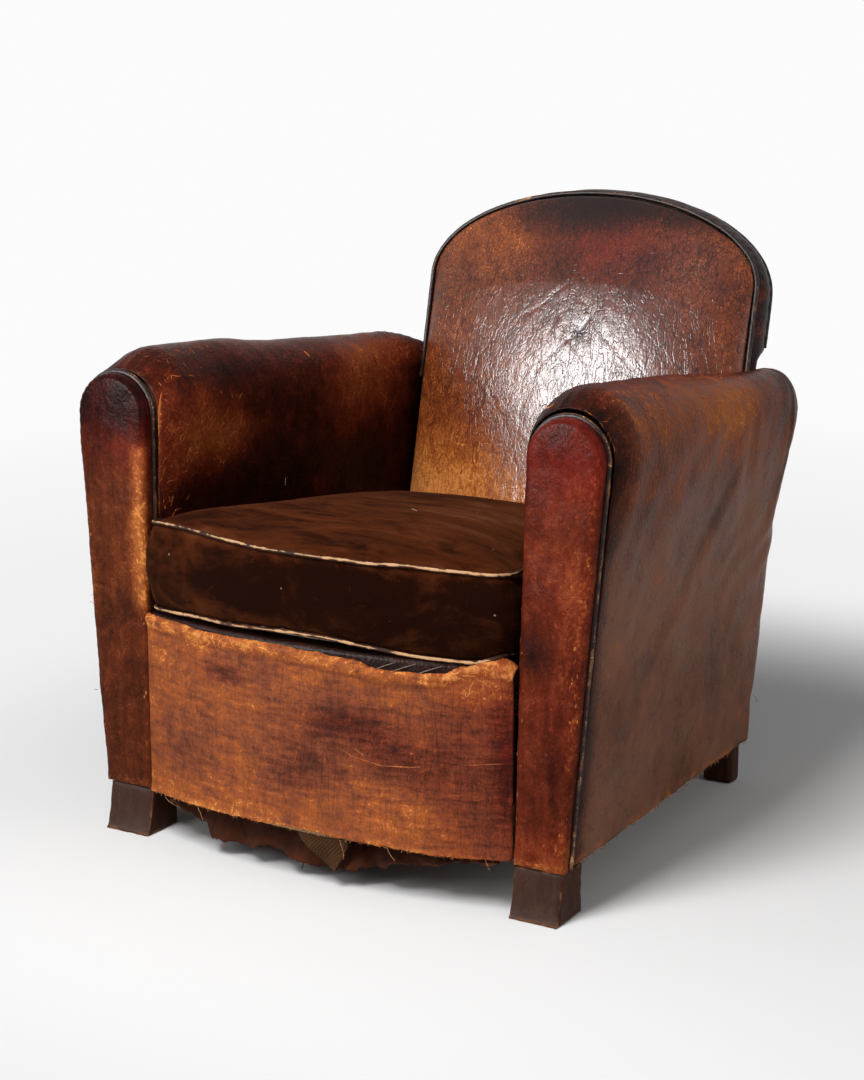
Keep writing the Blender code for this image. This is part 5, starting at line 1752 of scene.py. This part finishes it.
for scatter in (
        ("back_high", "back_hide", 130, (-0.150, 0.70, 0.700), (0.055, 0.02, 0.040),
         (0.004, 0.016), (0.0005, 0.0011), (0.3, 0, 1), 0.7),
        ("back_side", "back_hide", 90, (-0.235, 0.66, 0.560), (0.016, 0.02, 0.090),
         (0.004, 0.014), (0.0005, 0.0011), (0.2, 0, 1), 0.6),
        ("back_right", "back_hide", 60, (0.190, 0.68, 0.640), (0.035, 0.02, 0.050),
         (0.003, 0.010), (0.0005, 0.0010), (0.5, 0, 1), 0.8),
        ("arm_right", "arm_hide_right", 150, (-0.262, 0.110, 0.530), (0.02, 0.065, 0.050),
         (0.002, 0.010), (0.0004, 0.0008), (0, 0.6, 1), 0.9),
        ("roll_right", "arm_hide_right", 70, (-0.290, 0.130, 0.625), (0.020, 0.070, 0.01),
         (0.002, 0.009), (0.0004, 0.0008), (0, 1, 0), 0.6),
        ("low_right", "arm_hide_right", 70, (-0.264, 0.060, 0.430), (0.01, 0.020, 0.050),
         (0.004, 0.014), (0.0005, 0.0010), (0, 0.3, 1), 0.6),
        ("roll_left", "arm_hide_left", 150, (0.362, 0.140, 0.595), (0.012, 0.060, 0.020),
         (0.003, 0.012), (0.0004, 0.0009), (0, 0.6, 1), 0.9),
        ("rear_left", "arm_hide_left", 70, (0.350, 0.420, 0.590), (0.02, 0.05, 0.02),
         (0.003, 0.012), (0.0005, 0.0010), (0, 1, 0.5), 0.8),
        ("apron", "apron_hide", 30, (0.040, bow(0), 0.190), (0.14, 0.01, 0.055),
         (0.004, 0.014), (0.0004, 0.0008), (1, 0, -0.5), 0.6)):
    cluster(*scatter)

# %% Chips where the facings turn over their edge
for word, side in SIDES:
    chips = []
    often_high = 0.8 if side > 0 else 0.25
    for _ in range(28 if side > 0 else 15):
        t = dice.uniform(0.60, 0.93) if dice.random() < often_high else dice.uniform(0.02, 0.34)
        s = dice.uniform(1.25, 2.02)
        length = dice.uniform(0.0020, 0.0065)
        start = facing_point(t, s, side)
        end = facing_point(min(t + length / 1.25, 0.94), s + dice.uniform(-0.08, 0.08), side)
        chips.append(([start, end], dice.uniform(0.0010, 0.0032)))
    patches(f"chips_facing_{word}", f"facing_hide_{word}", chips)


# %% Fibres and loose threads
def dyed(name, scale, stops, rough):
    """A plain finish whose colour wanders between the stops."""
    material, tree, shader, place = new_finish(name)
    tint = clouds(place, scale, 3.0, 0.6)
    fill(tree, shader, {"Base Color": ramp(tint, stops), "Roughness": rough})
    return material


FIBRE_RAMP = [(0.3, (0.16, 0.055, 0.020)), (0.5, (0.38, 0.17, 0.060)), (0.7, (0.55, 0.33, 0.17))]
THREAD_RAMP = [(0.35, (0.09, 0.055, 0.032)), (0.65, (0.21, 0.155, 0.105))]
fibre_finish = dyed("loose_fibre", 120.0, FIBRE_RAMP, 0.85)
thread_finish = dyed("waxed_thread", 500.0, THREAD_RAMP, 0.8)


STRAND_SIDES = 5


def strand(form, points, radius):
    """Add a thin tube along the points, drawn to a tip at both ends, to a form."""
    count = len(points)
    made = bmesh.ops.create_grid(form, x_segments=STRAND_SIDES, y_segments=count - 1, size=0.5)["verts"]
    for v in made:
        i = round((v.co.y + 0.5) * (count - 1))
        turn = math.tau * (v.co.x + 0.5)
        going = (points[min(i + 1, count - 1)] - points[max(i - 1, 0)]).normalized()
        side = going.orthogonal().normalized()
        thin = 0 if i in (0, count - 1) else radius
        v.co = points[i] + (side * math.cos(turn) + going.cross(side) * math.sin(turn)) * thin
    bmesh.ops.remove_doubles(form, verts=made, dist=TOUCH)


def hair(start, towards, length, curl, droop=0.0, bends=5):
    """Points of a small curved fibre."""
    points, p, going = [start.copy()], start.copy(), towards.normalized()
    swing = Vector([dice.uniform(-1, 1) for _ in range(3)]) * curl
    for _ in range(bends):
        p = p + going * length / bends
        points.append(p.copy())
        going = (going + swing + Vector((0, 0, -droop))).normalized()
        swing = swing + Vector([dice.uniform(-1, 1) for _ in range(3)]) * curl * 0.5
    return points


def fringe(name, finish, hairs):
    form = bmesh.new()
    for points, radius in hairs:
        strand(form, points, radius)
    bmesh.ops.recalc_face_normals(form, faces=form.faces[:])
    return piece(form, name, finish, merge=0)


HAIR = 0.00035
hairs = []
for count, line, out, rises, heading, lengths, radius in (
        (110, APRON_FOOT, 0.001, (-0.0005, 0.003), (-0.5, -0.8), (0.002, 0.006), 0.00026),
        (90, APRON_TOP, 0.002, (0.0, 0.003), (-0.6, 0.9), (0.002, 0.005), 0.00025)):
    for _ in range(count):
        x = dice.uniform(-0.262, 0.262)
        edge = at(x, bow(x) - out, line_at(line, x) + dice.uniform(*rises))
        towards = Vector((dice.uniform(-1, 1), *heading))
        hairs.append((hair(edge, towards, dice.uniform(*lengths), 0.35), radius))
for x, length in ((-0.235, 0.030), (-0.17, 0.022), (0.055, 0.028), (0.118, 0.020), (0.236, 0.016)):
    edge = at(x, bow(x) - 0.002, line_at(APRON_FOOT, x))
    hairs.append((hair(edge, Vector((0.6, -0.4, -0.5)), length, 0.22, 0.15, 8), HAIR))
fringe("apron_fibres", fibre_finish, hairs)

hairs = []
for _ in range(110):
    y = dice.uniform(0.04, 0.60)
    edge = at(outer_x(y, APRON_BOTTOM, 1), y, APRON_BOTTOM + 0.001)
    towards = Vector((0.5, dice.uniform(-1, 1), -0.7))
    hairs.append((hair(edge, towards, dice.uniform(0.003, 0.009), 0.35), 0.00030))
for y, length in ((0.60, 0.03), (0.63, 0.02)):
    edge = at(outer_x(y, 0.12, 1) - 0.01, y, 0.12)
    hairs.append((hair(edge, Vector((0.5, 0.3, -0.6)), length, 0.2, 0.1, 8), HAIR))
for z, y in ((0.312, 0.012), (0.185, 0.010), (0.300, 0.014)):
    edge = at(-0.345 - 0.02 * z, y, z)
    hairs.append((hair(edge, Vector((-0.7, -0.3, -0.4)), 0.009, 0.5, 0.1, 8), HAIR))
fringe("side_fibres", fibre_finish, hairs)

# %% Stitches on the deck lip
hairs = []
for x, lean in ((0.116, 0.012), (0.139, 0.013), (0.170, 0.013)):
    low = at(x - lean, bow(x - lean) + 0.0006, 0.2870)
    high = at(x + lean, bow(x + lean) + 0.0010, 0.2972)
    hairs.append(([low + Vector((0, 0.003, 0)), low, low.lerp(high, 0.5) + Vector((0, -0.0012, 0.0004)), high,
                   high + Vector((0.001, 0.004, 0.001))], 0.0006))
fringe("deck_stitches", thread_finish, hairs)

# %% Threads and loops that hang from the torn cloth
hairs = []
for _ in range(46):
    x = dice.uniform(-0.19, 0.21)
    start = at(x, 0.020 + bow(x) * 0.45, max(line_at(HANG, x), 0.016) + dice.uniform(0.002, 0.030))
    towards = Vector((dice.uniform(-1, 1), -0.8, -0.2))
    points = hair(start, towards, dice.uniform(0.008, 0.030), 0.45, 0.05, 7)
    hairs.append((points, dice.uniform(0.0003, 0.0007)))
hairs = [(points, radius) for points, radius in hairs if min(p.z for p in points) > 0.004]
fringe("cloth_threads", under_finish, hairs)

# a scrap of thread by the left rear of the cushion, as it lies in the gap
scrap = hair(at(-0.2500, 0.300, 0.415), Vector((0.2, 0.1, 1)), 0.014, 0.3)
fringe("lint_thread", thread_finish, [(scrap, 0.0006)])
